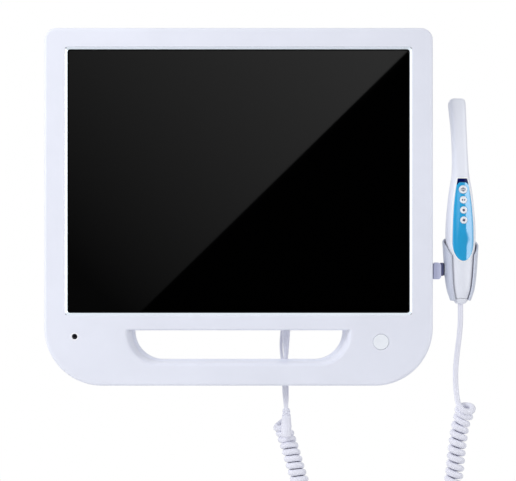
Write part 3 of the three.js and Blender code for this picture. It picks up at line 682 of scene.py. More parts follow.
def screen_outline(grow, y):
    return rounded(SCREEN["half"] + grow, SCREEN["low"] - grow, SCREEN["high"] + grow,
                   SCREEN["radius"] + grow * 0.6, SCREEN["radius"] + grow * 0.6, y)


def grip_outline(grow, y):
    """The hand-hold narrows from the front of the monitor to its rear."""
    share = (y - FRONT) / (REAR - FRONT)
    mix = lambda pair: pair[0] + (pair[1] - pair[0]) * share
    return rounded(mix(GRIP_HOLE["half"]) + grow, mix(GRIP_HOLE["low"]) - grow, GRIP_HOLE["high"] + grow,
                   mix(GRIP_HOLE["radius"]) + grow, 1.5 + grow, y, 20)


def bezel():
    bm = bmesh.new()
    edge = rounded_edge(3.2, 8)
    front_rim, inner_rim = sweep(bm, [
        case_outline(3.9, FRONT), *[case_outline(inset, FRONT + depth) for inset, depth in edge],
        case_outline(0, SPLIT - 0.7), case_outline(0.35, SPLIT), case_outline(WALL, SPLIT),
        case_outline(WALL, PLATE_BACK),
    ])
    screen_rim, screen_back = sweep(bm, [
        screen_outline(grow, y) for grow, y in [
            (3.7, FRONT), (3.15, FRONT), (2.8, FRONT + 0.06), (2.4, FRONT + 0.25), (2.1, FRONT + 0.5),
            (0.6, PLATE_BACK - 0.75), (0.3, PLATE_BACK - 0.5), (0.1, PLATE_BACK - 0.38),
            (0, PLATE_BACK - 0.2), (0, PLATE_BACK),
        ]
    ])
    grip_rim, grip_back = sweep(bm, [
        grip_outline(3.2, FRONT),
        *[grip_outline(inset, FRONT + depth) for inset, depth in rounded_edge(2.5, 6)],
        grip_outline(0, SPLIT - 0.5), grip_outline(0.3, SPLIT), grip_outline(WALL, SPLIT),
        grip_outline(WALL, PLATE_BACK),
    ])
    power_rim, power_back = sweep(bm, [
        circle(POWER_AT.x, POWER_AT.z, 8.15 + grow, y) for grow, y in [
            (1.2, FRONT), (0.4, FRONT), (0.15, FRONT + 0.06), (0.02, FRONT + 0.2), (-0.15, FRONT + 0.5),
            (0, PLATE_BACK),
        ]
    ])
    infrared_rim, infrared_back = sweep(bm, [
        circle(INFRARED_AT.x, INFRARED_AT.z, r, y, 32) for r, y in [
            (4.6, FRONT), (4.0, FRONT), (3.8, FRONT - 0.22), (3.5, FRONT - 0.38), (3.2, FRONT - 0.38),
            (2.9, FRONT - 0.2), (2.7, FRONT + 0.2), (2.7, PLATE_BACK),
        ]
    ])
    bosses = []
    for screw in CASE_SCREWS:
        base, tip = sweep(bm, [
            circle(screw.x, screw.z, r, y, 24) for r, y in
            [(4, PLATE_BACK), (4, SPLIT), (1.8, SPLIT), (1.8, FRONT + 6)]
        ])
        bm.faces.new(tip)
        bosses.append(base)
    flat(bm, front_rim, screen_rim, grip_rim, power_rim, infrared_rim)
    flat(bm, inner_rim, screen_back, grip_back, power_back, infrared_back, *bosses)
    return bm


BULGE = {"half": 146, "low": -124, "high": 134}
VENTS = {"count": 10, "pitch": 16, "half": 3, "low": 96, "high": 116}


def bulge_outline(side, under, y, inset=0.0):
    """The thick middle of the cover: its sides and top draw in towards the back, its underside is level."""
    return rounded(BULGE["half"] - side - inset, BULGE["low"] + under + inset, BULGE["high"] - side - inset,
                   5, 14, y, 10)


def cover():
    bm = bmesh.new()
    inner_rim, rear_rim = sweep(bm, [
        case_outline(WALL, COVER_INNER), case_outline(WALL, COVER_START), case_outline(0.35, COVER_START),
        case_outline(0, COVER_START + 0.7),
        *[case_outline(inset, REAR - depth) for inset, depth in reversed(rounded_edge(2.9, 8))],
        case_outline(3.2, REAR),
    ])
    grip_inner, grip_rim = sweep(bm, [
        grip_outline(WALL, COVER_INNER), grip_outline(WALL, COVER_START), grip_outline(0.3, COVER_START),
        grip_outline(0, COVER_START + 0.5),
        *[grip_outline(inset, REAR - depth) for inset, depth in reversed(rounded_edge(1.5, 5))],
        grip_outline(2.1, REAR),
    ])
    foot = [(-1.6, -0.6, REAR), (-1.0, -0.5, REAR), (-0.3, -0.15, REAR + 0.3), (0.25, 0, REAR + 1.0)]
    crown = [(4.9, 0, -4.4), (5.6, 0, -3), (6.6, 0.1, -1.7), (8.0, 0.35, -0.6), (9.2, 0.7, -0.1), (10, 1, 0)]
    foot_rim, back_rim = sweep(bm, [
        bulge_outline(side, under, y) for side, under, y in [*foot, *crown, (10.6, 1.5, 0)]
    ])
    inner_foot, inner_back = sweep(bm, [
        bulge_outline(side, 0, y, WALL) for side, y in [(0, COVER_INNER), (5.5, -5), (9, -WALL)]
    ])
    rear_loops, inner_loops, back_loops, lid_loops = [], [], [], []
    for screw in CASE_SCREWS:
        sunk, base = sweep(bm, [
            circle(screw.x, screw.z, r, y, 32) for r, y in [
                (4.1, REAR), (4.0, REAR), (3.85, REAR - 0.08), (3.8, REAR - 0.25), (3.8, REAR - 3),
                (1.8, REAR - 3), (1.8, COVER_START), (4.5, COVER_START), (4.5, COVER_INNER),
            ]
        ])
        rear_loops.append(sunk)
        inner_loops.append(base)
    for insert in INSERTS:
        mouth, floor = sweep(bm, [
            circle(insert.x, insert.z, r, y, 32)
            for r, y in [(4.6, 0), (4.05, 0), (3.82, -0.08), (3.75, -0.3), (3.75, -6.6)]
        ])
        bm.faces.new(floor)
        base, tip = sweep(bm, [circle(insert.x, insert.z, 6, y, 32) for y in (-WALL, -9)])
        bm.faces.new(tip)
        back_loops.append(mouth)
        lid_loops.append(base)
    for i in range(VENTS["count"]):
        x = (i - (VENTS["count"] - 1) / 2) * VENTS["pitch"]
        mouth, base = sweep(bm, [
            rounded(VENTS["half"] + grow, VENTS["low"] - grow, VENTS["high"] + grow,
                    VENTS["half"] + grow - 0.01, VENTS["half"] + grow - 0.01, y, 8, x)
            for grow, y in [(0.9, 0), (0.5, 0), (0.25, -0.1), (0.05, -0.35), (0, -0.7), (0, -WALL)]
        ])
        back_loops.append(mouth)
        lid_loops.append(base)
    flat(bm, rear_rim, grip_rim, foot_rim, *rear_loops)
    flat(bm, inner_rim, grip_inner, inner_foot, *inner_loops)
    flat(bm, back_rim, *back_loops)
    flat(bm, inner_back, *lid_loops)
    ports = [
        lathe([(0, -130), (r, -130), (r, -110), (0, -110)], "z", (at.x, at.y, 0), 40)
        for at, r in ((PORT, 6.8), (middle("dc_inlet"), 5))
    ]
    return carved(bm, *ports)


def polish_and_painted_highlight(at):
    """1 on the polished bevel round the screen, 2 on the infrared window's ring, whose whiter colour is a painted
    highlight.
    """
    half, low, high = SCREEN["half"] + 1.9, SCREEN["low"] - 1.9, SCREEN["high"] + 1.9
    if abs(at.x) < half and low < at.z < high and FRONT + 0.1 < at.y < PLATE_BACK - 0.2:
        return 1
    return 2 if hypot(at.x - INFRARED_AT.x, at.z - INFRARED_AT.z) < 4.1 and at.y < FRONT else 0


# the infrared window's ring gets the painted highlight
piece("bezel_moulding", bezel(), CASE, "monitor", ["front_bezel"],
      trims=[POLISHED, PAINTED_HIGHLIGHT], trim_of=polish_and_painted_highlight)
piece("cover_moulding", cover(), CASE, "monitor", ["rear_cover"])


def screw_head(radius, height, shank, length, at, axis_out):
    """A pan head with a cross recess, and its shank. It points along -Y or +Y."""
    bm = bmesh.new()
    arm, half = radius * 0.62, radius * 0.13
    cross = []
    for k in range(4):
        c, s = cos(pi / 2 * k), sin(pi / 2 * k)
        for x, z in ((arm, -half), (arm, half), (half, half)):
            cross.append((x * c - z * s, x * s + z * c))
    rim = [circle(0, 0, r, y, 36) for r, y in [
        (shank, -length), (shank, 0), (radius, 0), (radius, height * 0.45), (radius * 0.93, height * 0.75),
        (radius * 0.78, height * 0.95), (radius * 0.7, height),
    ]]
    end, face = sweep(bm, rim)
    bm.faces.new(end)
    mouth, floor = sweep(bm, [
        [(x * k, y, z * k) for x, z in cross] for k, y in [(1, height), (0.7, height * 0.35)]
    ])
    flat(bm, face, mouth)
    bm.faces.new(floor)
    bm.transform(Matrix.Translation(at) @ Matrix.Scale(axis_out, 4, (0, 1, 0)))
    return bm


for i, screw in enumerate(CASE_SCREWS, 1):
    piece(f"cover_screw_{i}", screw_head(3.3, 2, 1.5, 20.5, (screw.x, REAR - 2.8, screw.z), 1), STEEL,
          "monitor", [f"case_screw_{i}"])


def knurled_insert(at):
    """A brass thread insert: two knurled bands and a waist between them."""
    bm = bmesh.new()
    outlines = []
    for r, y, knurl in [
        (1.65, -0.2, 0), (3.1, -0.2, 0), (3.45, -0.5, 0.1), (3.45, -2.5, 0.1), (3.0, -2.8, 0), (3.0, -3.6, 0),
        (3.45, -3.9, 0.1), (3.45, -5.8, 0.1), (3.1, -6.2, 0), (1.65, -6.2, 0),
        *[(1.65 + 0.18 * (k % 2), -6.2 + 6 * k / 21, 0) for k in range(1, 21)],
    ]:
        outlines.append([
            (at.x + (r + knurl * (-1) ** i) * cos(2 * pi * i / 60), y,
             at.z + (r + knurl * (-1) ** i) * sin(2 * pi * i / 60)) for i in range(60)
        ])
    return hoop(bm, outlines)


for i, insert in enumerate(INSERTS, 1):
    piece(f"thread_insert_{i}", knurled_insert(insert), BRASS, "monitor", [f"vesa_insert_{i}"])


def pane():
    """The screen glass, its front divided where the printed border begins."""
    low, high = corners("screen_glass")
    bm = bmesh.new()
    front = [rounded(half, low.z + drop, high.z - drop, radius, radius, y, 6) for half, drop, radius, y in [
        (high.x - 6.3, 6.3, 2.2, low.y), (high.x - 0.4, 0.4, 3, low.y), (high.x, 0, 3, low.y + 0.4),
        (high.x, 0, 3, high.y),
    ]]
    return swept(bm, front)


def on_border(at):
    low, high = corners("screen_glass")
    return not (abs(at.x) < 10 and abs(at.z - (low.z + high.z) / 2) < 10 and at.y < low.y + 0.1)


piece("screen_pane", pane(), GLASS, "monitor", ["screen_glass"], 20,
      trims=[BLACK_PRINT], trim_of=on_border)

# ---- power button and infrared window ----------------------------------------------------------
piece("power_key", lathe([
    (0, FRONT - 0.1), (4, FRONT - 0.16), (5.6, FRONT - 0.34), (6.4, FRONT - 0.42), (7, FRONT - 0.36),
    (7.55, FRONT - 0.05), (7.75, FRONT + 0.4), (8, PLATE_BACK + 0.3), (9.4, PLATE_BACK + 0.3),
    (9.4, PLATE_BACK + 1.3), (2.5, PLATE_BACK + 1.3), (2.5, -38.6), (0, -38.6),
], "y", (POWER_AT.x, 0, POWER_AT.z), 64), BUTTON, "power_button", ["power_button"])
piece("infrared_lens", lathe([
    (0, FRONT - 0.55), (0.9, FRONT - 0.48), (1.7, FRONT - 0.22), (2.3, FRONT + 0.2), (2.4, FRONT + 0.5),
    (2.4, PLATE_BACK + 0.3), (3.4, PLATE_BACK + 0.3), (3.4, PLATE_BACK + 1.2), (0, PLATE_BACK + 1.2),
], "y", (INFRARED_AT.x, 0, INFRARED_AT.z), 40), SMOKE, "monitor", ["infrared_window"])

for name, hole, outer in (("camera_socket", 4.4, 6.4), ("dc_inlet", 3.2, 4.6)):
    at = middle(name)
    low, high = corners(name)
    shell = lathe([
        (0, high.z), (outer, high.z), (outer, low.z + 0.3), (outer - 0.3, low.z), (hole + 0.3, low.z),
        (hole, low.z + 0.3), (hole, high.z - 2), (0, high.z - 2),
    ], "z", (at.x, at.y, 0), 48)
    piece(f"{name}_shell", shell, BLACK, "monitor", [name])
    if name == "dc_inlet":
        piece("dc_pin", lathe([
            (0, high.z - 2.2), (1, high.z - 2.2), (1, low.z + 1.6), (0.6, low.z + 1.1), (0, low.z + 1.0),
        ], "z", (at.x, at.y, 0), 24), STEEL, "monitor")

# ---- handpiece body ----------------------------------------------------------------------------
HANDLE = middle("end_cap")
PRESS = JOINTS["capture_button_press"]["axis"]
YAW = atan2(-PRESS[0], PRESS[1])
HOLDER = Matrix.Translation((HANDLE.x, HANDLE.y, 0)) @ Matrix.Rotation(YAW, 4, "Z")
BODY_TOP, BODY_LOW, BODY_WALL, CAP_TOP = 93.1, -114.3, 1.8, -108.9
SETBACK, BEND_FROM, BEND_RISE = 16, -5, 99
HALF_WIDTHS = [
    (-114.3, 4.9), (-112, 6.7), (-108, 8.3), (-100, 10.8), (-88, 12.6), (-71, 13.9), (-42, 15.2),
    (-14, 13.3), (1, 11.4), (14, 8.9), (30, 7.8), (60, 7.7), (86, 8.5), (93.1, 8.4),
]


def half_width(z):
    rows = HALF_WIDTHS
    k = min(max(next((i for i, row in enumerate(rows) if row[0] >= z), len(rows) - 1), 1), len(rows) - 1)
    (z0, a0), (z1, a1), (z2, a2), (z3, a3) = [
        rows[min(max(i, 0), len(rows) - 1)] for i in (k - 2, k - 1, k, k + 1)
    ]
    t, span = (z - z1) / (z2 - z1), z2 - z1
    slope1, slope2 = (a2 - a0) / (z2 - z0) * span, (a3 - a1) / (z3 - z1) * span
    return ((2 * t ** 3 - 3 * t ** 2 + 1) * a1 + (t ** 3 - 2 * t ** 2 + t) * slope1
            + (3 * t ** 2 - 2 * t ** 3) * a2 + (t ** 3 - t ** 2) * slope2)


def neck_share(z):
    t = min(max((z + 5) / 35, 0), 1)
    return t * t * (3 - 2 * t)


def half_depth(z):
    return half_width(z) * (0.86 + 0.05 * neck_share(z))


def setback(z):
    return SETBACK * (max(z - BEND_FROM, 0) / BEND_RISE) ** 2


def lean(z):
    return atan(2 * SETBACK * max(z - BEND_FROM, 0) / BEND_RISE ** 2)


def on_section(z, x, y, height=None):
    """A point of the section across the bent axis, in the handpiece's own axes."""
    height = z if height is None else height
    tilt = lean(z)
    return Vector((x, setback(height) + y * cos(tilt), height - y * sin(tilt)))


def outline_point(z, angle, grow, scale=1.0):
    power = 2 / (2.2 + 1.2 * neck_share(z))
    c, s = cos(angle), sin(angle)
    reach = lambda v, half: (1 if v >= 0 else -1) * abs(v) ** power * half
    return (reach(c, (half_width(z) + grow) * scale), reach(s, (half_depth(z) + grow) * scale))


def face_y(x, z, grow):
    """Y of the front surface at a place seen from the front, allowing for the lean of the sections."""
    h, y = z, 0.0
    for _ in range(5):
        power = 2.2 + 1.2 * neck_share(h)
        share = min(abs(x) / (half_width(h) + grow), 0.999)
        y = -(half_depth(h) + grow) * (1 - share ** power) ** (1 / power)
        h = z + y * sin(lean(h))
    return setback(h) + y * cos(lean(h))


def body_rows(low, high, count=132):
    """(height of the shape, height of the place, share of the width) up to the rounded crown."""
    rows = [(low + (high - 5 - low) * i / count,) * 2 + (1.0,) for i in range(count + 1)]
    for k in range(1, 9):
        a = pi / 2 * k / 8
        rows.append((high - 5, high - 5 * (1 - sin(a)), 1 - 0.4 * (1 - cos(a)) ** 1.4))
    return rows


def half_shell(front, columns=60):
    """One half of the body as a closed shell, a hair short of the seam plane and bevelled there."""
    sign = -1 if front else 1
    bm = bmesh.new()
    seam = 0.15

    def row_points(row, grow):
        z, height, scale = row
        points = []
        for j in range(-1, columns + 2):
            angle = pi * min(max(j, 0), columns) / columns
            x, y = outline_point(z, angle, grow, scale)
            y = max(y, seam)
            if j in (0, columns):
                y = seam + 0.3
            if j in (-1, columns + 1):
                x -= 0.22 * (1 if x > 0 else -1)
            points.append(on_section(z, x, sign * y, height))
        return points

    low = CAP_TOP + 0.15
    outer = [ring(bm, row_points(row, 0)) for row in [(low, low, 0.985), *body_rows(low + 0.35, BODY_TOP)]]
    inner = [ring(bm, row_points(row, -BODY_WALL))
             for row in [(low, low, 1.0), *body_rows(low + 0.35, BODY_TOP - BODY_WALL)]]
    for rows in (outer, inner):
        for a, b in zip(rows, rows[1:]):
            skin(bm, a, b, closed=False)
        bm.faces.new(rows[-1])
    skin(bm, outer[0], inner[0], closed=False)
    for end in (0, -1):
        skin(bm, [row[end] for row in outer], [row[end] for row in inner], closed=False)
    bm.faces.new((outer[-1][0], outer[-1][-1], inner[-1][-1], inner[-1][0]))
    return bm


PANEL = {"top": 12, "widest": -52, "bottom": -70.8, "top_half": 4.7, "half": 10.9, "depth": 1.3}
WINDOW = {"leg": 5.8, "arch": 8.3, "arch_half": 3.0}  # where the dark window meets the blue panel
BUTTON_NAMES = ["capture_button", "mirror_button", "display_button", "light_button"]


def cubic(p0, p1, p2, p3, count):
    made = []
    for i in range(count + 1):
        t = i / count
        weights = ((1 - t) ** 3, 3 * t * (1 - t) ** 2, 3 * t * t * (1 - t), t ** 3)
        made.append(tuple(sum(w * p[k] for w, p in zip(weights, (p0, p1, p2, p3))) for k in (0, 1)))
    return made


def panel_side(grow=0.0):
    """(half width, height) up the right-hand edge of the button panel."""
    g, half, widest = grow, PANEL["half"] + grow, PANEL["widest"]
    lower = cubic((0.35 + g * 0.5, PANEL["bottom"] - g), (6 + g, PANEL["bottom"] - g), (half, widest - 10),
                  (half, widest), 14)
    upper = cubic((half, widest), (half, -22), (PANEL["top_half"] + 3 + g, 0),
                  (PANEL["top_half"] + g, PANEL["top"] + g), 34)
    return lower + upper[1:]


def slab(grid, near, far):
    """A closed curved plate that follows the body's front over a grid of (x, z) places.
    near and far give its two surfaces as Y at a place."""
    bm = bmesh.new()
    faces = []
    for surface in (near, far):
        rows = [ring(bm, [(x, surface(x, z), z) for x, z in row]) for row in grid]
        for a, b in zip(rows, rows[1:]):
            skin(bm, a, b, closed=False)
        faces.append(rows)
    a, b = faces
    skin(bm, a[0], b[0], closed=False)
    skin(bm, a[-1], b[-1], closed=False)
    for k in range(len(grid) - 1):
        for end in (0, -1):
            bm.faces.new((a[k][end], a[k + 1][end], b[k + 1][end], b[k][end]))
    return bm


def across(half, z, columns=22):
    return [(half * (2 * j / columns - 1), z) for j in range(columns + 1)]


def blue_grid():
    side = panel_side()
    rows = [across(w, z) for w, z in side if z < WINDOW["leg"]]
    edge = rows[-1][-1][0]
    steps = 6
    for k in range(1, steps + 1):
        share = k / steps
        half = WINDOW["arch_half"] + (edge - WINDOW["arch_half"]) * (1 - share ** 1.6)
        rows.append(across(half, WINDOW["leg"] - 0.25 + (WINDOW["arch"] - WINDOW["leg"]) * share))
    return rows


def window_grid():
    """The dark window is an arch: rows run from its inner edge to its outer edge."""
    gap = 0.16
    outer = [(w, z) for w, z in panel_side() if z > WINDOW["leg"] - 0.6]
    top = [(PANEL["top_half"] * (1 - k / 5), PANEL["top"]) for k in range(1, 6)]
    right_outer = outer + top
    edge = outer[0][0]
    count = len(right_outer)
    right_inner = []
    for k in range(count):
        share = k / (count - 1)
        rise = min(share * 1.8, 1)
        half = (WINDOW["arch_half"] + (edge - 0.7 - WINDOW["arch_half"]) * (1 - rise ** 1.6)) * \
            (1 if rise < 1 else (1 - share) / (1 - 1 / 1.8))
        right_inner.append((half, WINDOW["leg"] - 0.6 + (WINDOW["arch"] + gap + 0.6 - WINDOW["leg"]) * rise))
    mirrored = lambda side: [(-x, z) for x, z in side] + [p for p in reversed(side[:-1])]
    inner_line, outer_line = mirrored(right_inner), mirrored(right_outer)
    rows = []
    for k in range(7):
        share = k / 6
        rows.append([
            (a[0] + (b[0] - a[0]) * share, a[1] + (b[1] - a[1]) * share)
            for a, b in zip(inner_line, outer_line)
        ])
    return rows


button_places = {}
for name in BUTTON_NAMES:
    low, high = corners(name)
    button_places[name] = ((low.z + high.z) / 2, (high.z - low.z) / 2 - 0.7)


def button_bores(grow=0.12):
    return merged(*[
        lathe([(0, -40), (r + grow, -40), (r + grow, 0), (0, 0)], "y", (0, 0, z), 48)
        for z, r in button_places.values()
    ])


def panel_bead():
    """A thin raised bead round the recess, moulded on the shell."""
    side = panel_side(0.75)
    loop = side + [(PANEL["top_half"] * (1 - k / 3), PANEL["top"] + 0.75) for k in range(1, 3)]
    right = [Vector((w, face_y(w, z, -0.12), z)) for w, z in loop]
    left = [Vector((-p.x, p.y, p.z)) for p in reversed(right)]
    line = right + left
    bm = bmesh.new()
    outlines = []
    for k, point in enumerate(line):
        tangent = (line[(k + 1) % len(line)] - line[k - 1]).normalized()
        out = Vector((point.x * 0.12, -1, 0)).normalized()
        side_way = tangent.cross(out).normalized()
        out = side_way.cross(tangent)
        outlines.append([
            point + side_way * (0.62 * cos(2 * pi * i / 10)) + out * (0.42 * sin(2 * pi * i / 10))
            for i in range(10)
        ])
    return hoop(bm, outlines)


def front_half():
    recess = slab([across(w, z) for w, z in panel_side(0.08)],
                  lambda x, z: -30.0, lambda x, z: face_y(x, z, -PANEL["depth"]))
    bm = carved(half_shell(True), panel_bead(), operation="UNION")
    return carved(bm, recess, button_bores())


HEAD_Z = 83.5
HEAD = Matrix.Translation((0, setback(HEAD_Z), HEAD_Z)) @ Matrix.Rotation(-lean(HEAD_Z), 4, "X")
HEAD_BACK = half_depth(HEAD_Z)
SHELL_SCREWS = [-64, -92]
SCREW_SEAT = 7.6


def rear_half():
    mouth = lathe([(0, 2), (5.5, 2), (5.5, HEAD_BACK - 0.5), (5.9, HEAD_BACK + 0.05), (6.6, HEAD_BACK + 0.6),
                   (6.6, 20), (0, 20)], "y", segments=64)
    mouth.transform(HEAD)
    bores = [lathe([(0, SCREW_SEAT), (2.5, SCREW_SEAT), (2.5, 20), (0, 20)], "y", (0, 0, z), 40)
             for z in SHELL_SCREWS]
    posts = [lathe([(0, 0.3), (3.6, 0.3), (3.6, 11), (0, 11)], "y", (0, 0, z), 40) for z in SHELL_SCREWS]
    bm = carved(half_shell(False), merged(*posts), operation="UNION")
    return carved(bm, mouth, merged(*bores))


def in_holder(bm, frame_matrix=HOLDER):
    bm.transform(frame_matrix)
    return bm


BEAD = [(w, z) for w, z in panel_side(0.75)] + [(0, PANEL["top"] + 0.75)]


def on_painted_highlight_bead(at):
    """On the raised bead round the panel, whose whiter colour is a painted highlight."""
    local = HOLDER.inverted() @ at
    if local.y > -5 + setback(local.z) or not PANEL["bottom"] - 2 < local.z < PANEL["top"] + 2:
        return False
    here, closest = Vector((abs(local.x), local.z)), 9.0
    for (x0, z0), (x1, z1) in zip(BEAD, BEAD[1:]):
        start, along = Vector((x0, z0)), Vector((x1 - x0, z1 - z0))
        share = min(max((here - start).dot(along) / along.length_squared, 0), 1)
        closest = min(closest, (here - start - along * share).length)
    return closest < 0.66


# the bead round the button panel gets the painted highlight
piece("shell_front", in_holder(front_half()), GRIP, "handpiece", ["front_shell"], 40,
      trims=[PAINTED_HIGHLIGHT], trim_of=on_painted_highlight_bead)
piece("shell_rear", in_holder(rear_half()), GRIP, "handpiece", ["rear_shell"], 40)
proud = 0.1
panel_front = lambda x, z: face_y(x, z, proud)
panel_back = lambda x, z: face_y(x, z, -PANEL["depth"] + 0.3)
blue = carved(bevelled(slab(blue_grid(), panel_front, panel_back), 0.3, 3, 50), button_bores())
piece("button_panel", in_holder(blue), BLUE, "handpiece", ["blue_panel"], 40)
navy = carved(bevelled(slab(window_grid(), panel_front, panel_back), 0.25, 3, 50), button_bores())
piece("status_window", in_holder(navy), NAVY, "handpiece", ["indicator_window"], 40)


def button(z, r):
    """A round key with a raised rim, a shallow dish and a flange under the shell."""
    face, flange = -half_depth(z) - 0.7, -half_depth(z) + BODY_WALL + 1.6
    return lathe([
        (0, face + 0.32), (r * 0.45, face + 0.28), (r * 0.66, face + 0.12), (r * 0.76, face),
        (r * 0.86, face), (r * 0.93, face + 0.12), (r * 0.97, face + 0.4), (r - 0.06, face + 0.8),
        (r - 0.06, flange), (r + 0.7, flange), (r + 0.7, flange + 0.6), (1.4, flange + 0.6), (1.4, -5.3),
        (0, -5.3),
    ], "y", (0, 0, z), 48)


def stroke(points, y, thick=0.16):
    """A flat mark on a key: a closed outline in X and Z, a hair thick."""
    bm = bmesh.new()
    return swept(bm, [[(x, y, z) for x, z in points], [(x, y + thick, z) for x, z in points]])


def oblong(half, low, high):
    return [(-half, low), (half, low), (half, high), (-half, high)]


def band(radius, width, z, y, thick=0.16, squash=1.0):
    bm = lathe([(radius - width, y), (radius, y), (radius, y + thick), (radius - width, y + thick)], "y",
               (0, 0, z), 40)
    if squash != 1.0:
        bm.transform(Matrix.Translation((0, 0, z)) @ Matrix.Scale(squash, 4, (0, 0, 1))
                     @ Matrix.Translation((0, 0, -z)))
    return bm


def marks(name, z, y):
    """Plain generic signs: a ring with a bar, two arrows, a frame, and a dot in a ring."""
    if name == "capture_button":
        frame_mark = [band(2.5, 0.45, z, y, squash=0.75), band(1.3, 0.5, z, y, squash=0.75)]
        bars = [stroke(oblong(1.2, z + k - 0.2, z + k + 0.2), y + 0.02) for k in (-1.3, 1.35)]
        return merged(*frame_mark, *bars)
    if name == "mirror_button":
        arrows = [[(k * 0.55, z - 1.15), (k * 2.1, z), (k * 0.55, z + 1.15)] for k in (-1, 1)]
        return merged(*[stroke(arrow, y) for arrow in arrows])
    if name == "display_button":
        return merged(stroke(oblong(1.2, z - 0.9, z + 0.9), y), stroke(oblong(0.6, z - 1.5, z - 1.15), y))
    rays = []
    for mid in [pi / 4 * k for k in range(8)]:
        ray = [(1.3, mid - 0.25), (1.85, mid), (1.3, mid + 0.25)]
        rays.append(stroke([(r * cos(a), z + r * sin(a)) for r, a in ray], y))
    return merged(lathe([(0, y), (1.15, y), (1.15, y + 0.16), (0, y + 0.16)], "y", (0, 0, z), 32), *rays)


for name, (z, r) in button_places.items():
    piece(f"{name}_key", in_holder(button(z, r)), BUTTON, name, [name])
    piece(f"{name}_sign", in_holder(marks(name, z, -half_depth(z) - 0.7 + 0.16)), INK, name)

# ---- head, screws and end cap ------------------------------------------------------------------
cover_glass = lathe([(0, HEAD_BACK - 0.35), (4.6, HEAD_BACK - 0.35), (5.1, HEAD_BACK - 0.6),
                     (5.2, HEAD_BACK - 1.4), (0, HEAD_BACK - 1.4)], "y", segments=64)
piece("camera_window", in_holder(cover_glass, HOLDER @ HEAD), CLEAR, "handpiece",
      ["lens_window"])
barrel = lathe([
    (0, HEAD_BACK - 7.5), (2.5, HEAD_BACK - 7.5), (2.5, HEAD_BACK - 1.9), (2.2, HEAD_BACK - 1.75),
    (1.6, HEAD_BACK - 1.75), (1.5, HEAD_BACK - 2.3), (0.9, HEAD_BACK - 2.1), (0, HEAD_BACK - 2.0),
], "y", segments=48)
piece("camera_lens", in_holder(barrel, HOLDER @ HEAD), SMOKE, "handpiece", ["lens_barrel"])
lamps = [lathe([(2.8, HEAD_BACK - 3), (5.2, HEAD_BACK - 3), (5.2, HEAD_BACK - 2.2), (2.8, HEAD_BACK - 2.2)],
               "y", segments=64)]
for k in range(6):
    at = (4 * cos(pi / 3 * k), 0, 4 * sin(pi / 3 * k))
    lamps.append(lathe([
        (0, HEAD_BACK - 2.3), (0.95, HEAD_BACK - 2.3), (0.95, HEAD_BACK - 1.95), (0.7, HEAD_BACK - 1.7),
        (0.35, HEAD_BACK - 1.58), (0, HEAD_BACK - 1.55),
    ], "y", at, 24))
piece("lamp_ring", in_holder(merged(*lamps), HOLDER @ HEAD), LAMP, "handpiece", ["led_ring"])

for i, z in enumerate(SHELL_SCREWS, 1):
    head = screw_head(2.2, 1.6, 1, 13, (0, SCREW_SEAT + 0.2, z), 1)
    piece(f"body_screw_{i}", in_holder(head), STEEL, "handpiece", [f"shell_screw_{i}"])


def cap():
    """The rounded bottom of the body, with a collar round the cord."""
    bm = bmesh.new()
    count = 72
    section = lambda z, grow, height, scale=1.0: [
        on_section(z, *outline_point(z, 2 * pi * i / count, grow, scale), height) for i in range(count)
    ]
    top = CAP_TOP - 0.15
    collar = [
        [(r * cos(2 * pi * i / count), r * sin(2 * pi * i / count), z) for i in range(count)]
        for r, z in [(4.0, BODY_LOW - 0.02), (3.6, BODY_LOW + 0.1), (2.95, BODY_LOW + 0.5), (2.95, top)]
    ]
    rows = [section(top, 0, top, 0.985), section(top - 0.3, 0, top - 0.3),
            *[section(z, 0, z) for z in (-110.2, -111.2, -112.2, -113, -113.6, -114)],
            section(BODY_LOW, 0, BODY_LOW, 0.97)]
    return hoop(bm, [*rows, *collar])


piece("body_cap", in_holder(cap()), GRIP, "handpiece", ["end_cap"], 40)

# ---- holder ------------------------------------------------------------------------------------
# the last value sets how far from the grip the cup's painted shade reaches
CRADLE = {"low": -111, "clearance": 0.8, "wall": 2.4, "slot": 0.73, "painted_shade_reach": 1.02}
RIM = [(-20, -66), (-11, -66), (-4.4, -56), (4.4, -51.5), (18, -45), (30, -45)]  # (Y, Z) from the side
STUB_LOW, STUB_HIGH = corners("swivel_stub")
PIVOT = Vector(JOINTS["cradle_swivel"]["pos_m"]) / MM
BOSS_REACH = HANDLE.x - corners("swivel_washer")[1].x - 0.3


def rim_height(y):
    for (y0, z0), (y1, z1) in zip(RIM, RIM[1:]):
        if y <= y1:
            t = (y - y0) / (y1 - y0)
            return z0 + (z1 - z0) * t
    return RIM[-1][1]


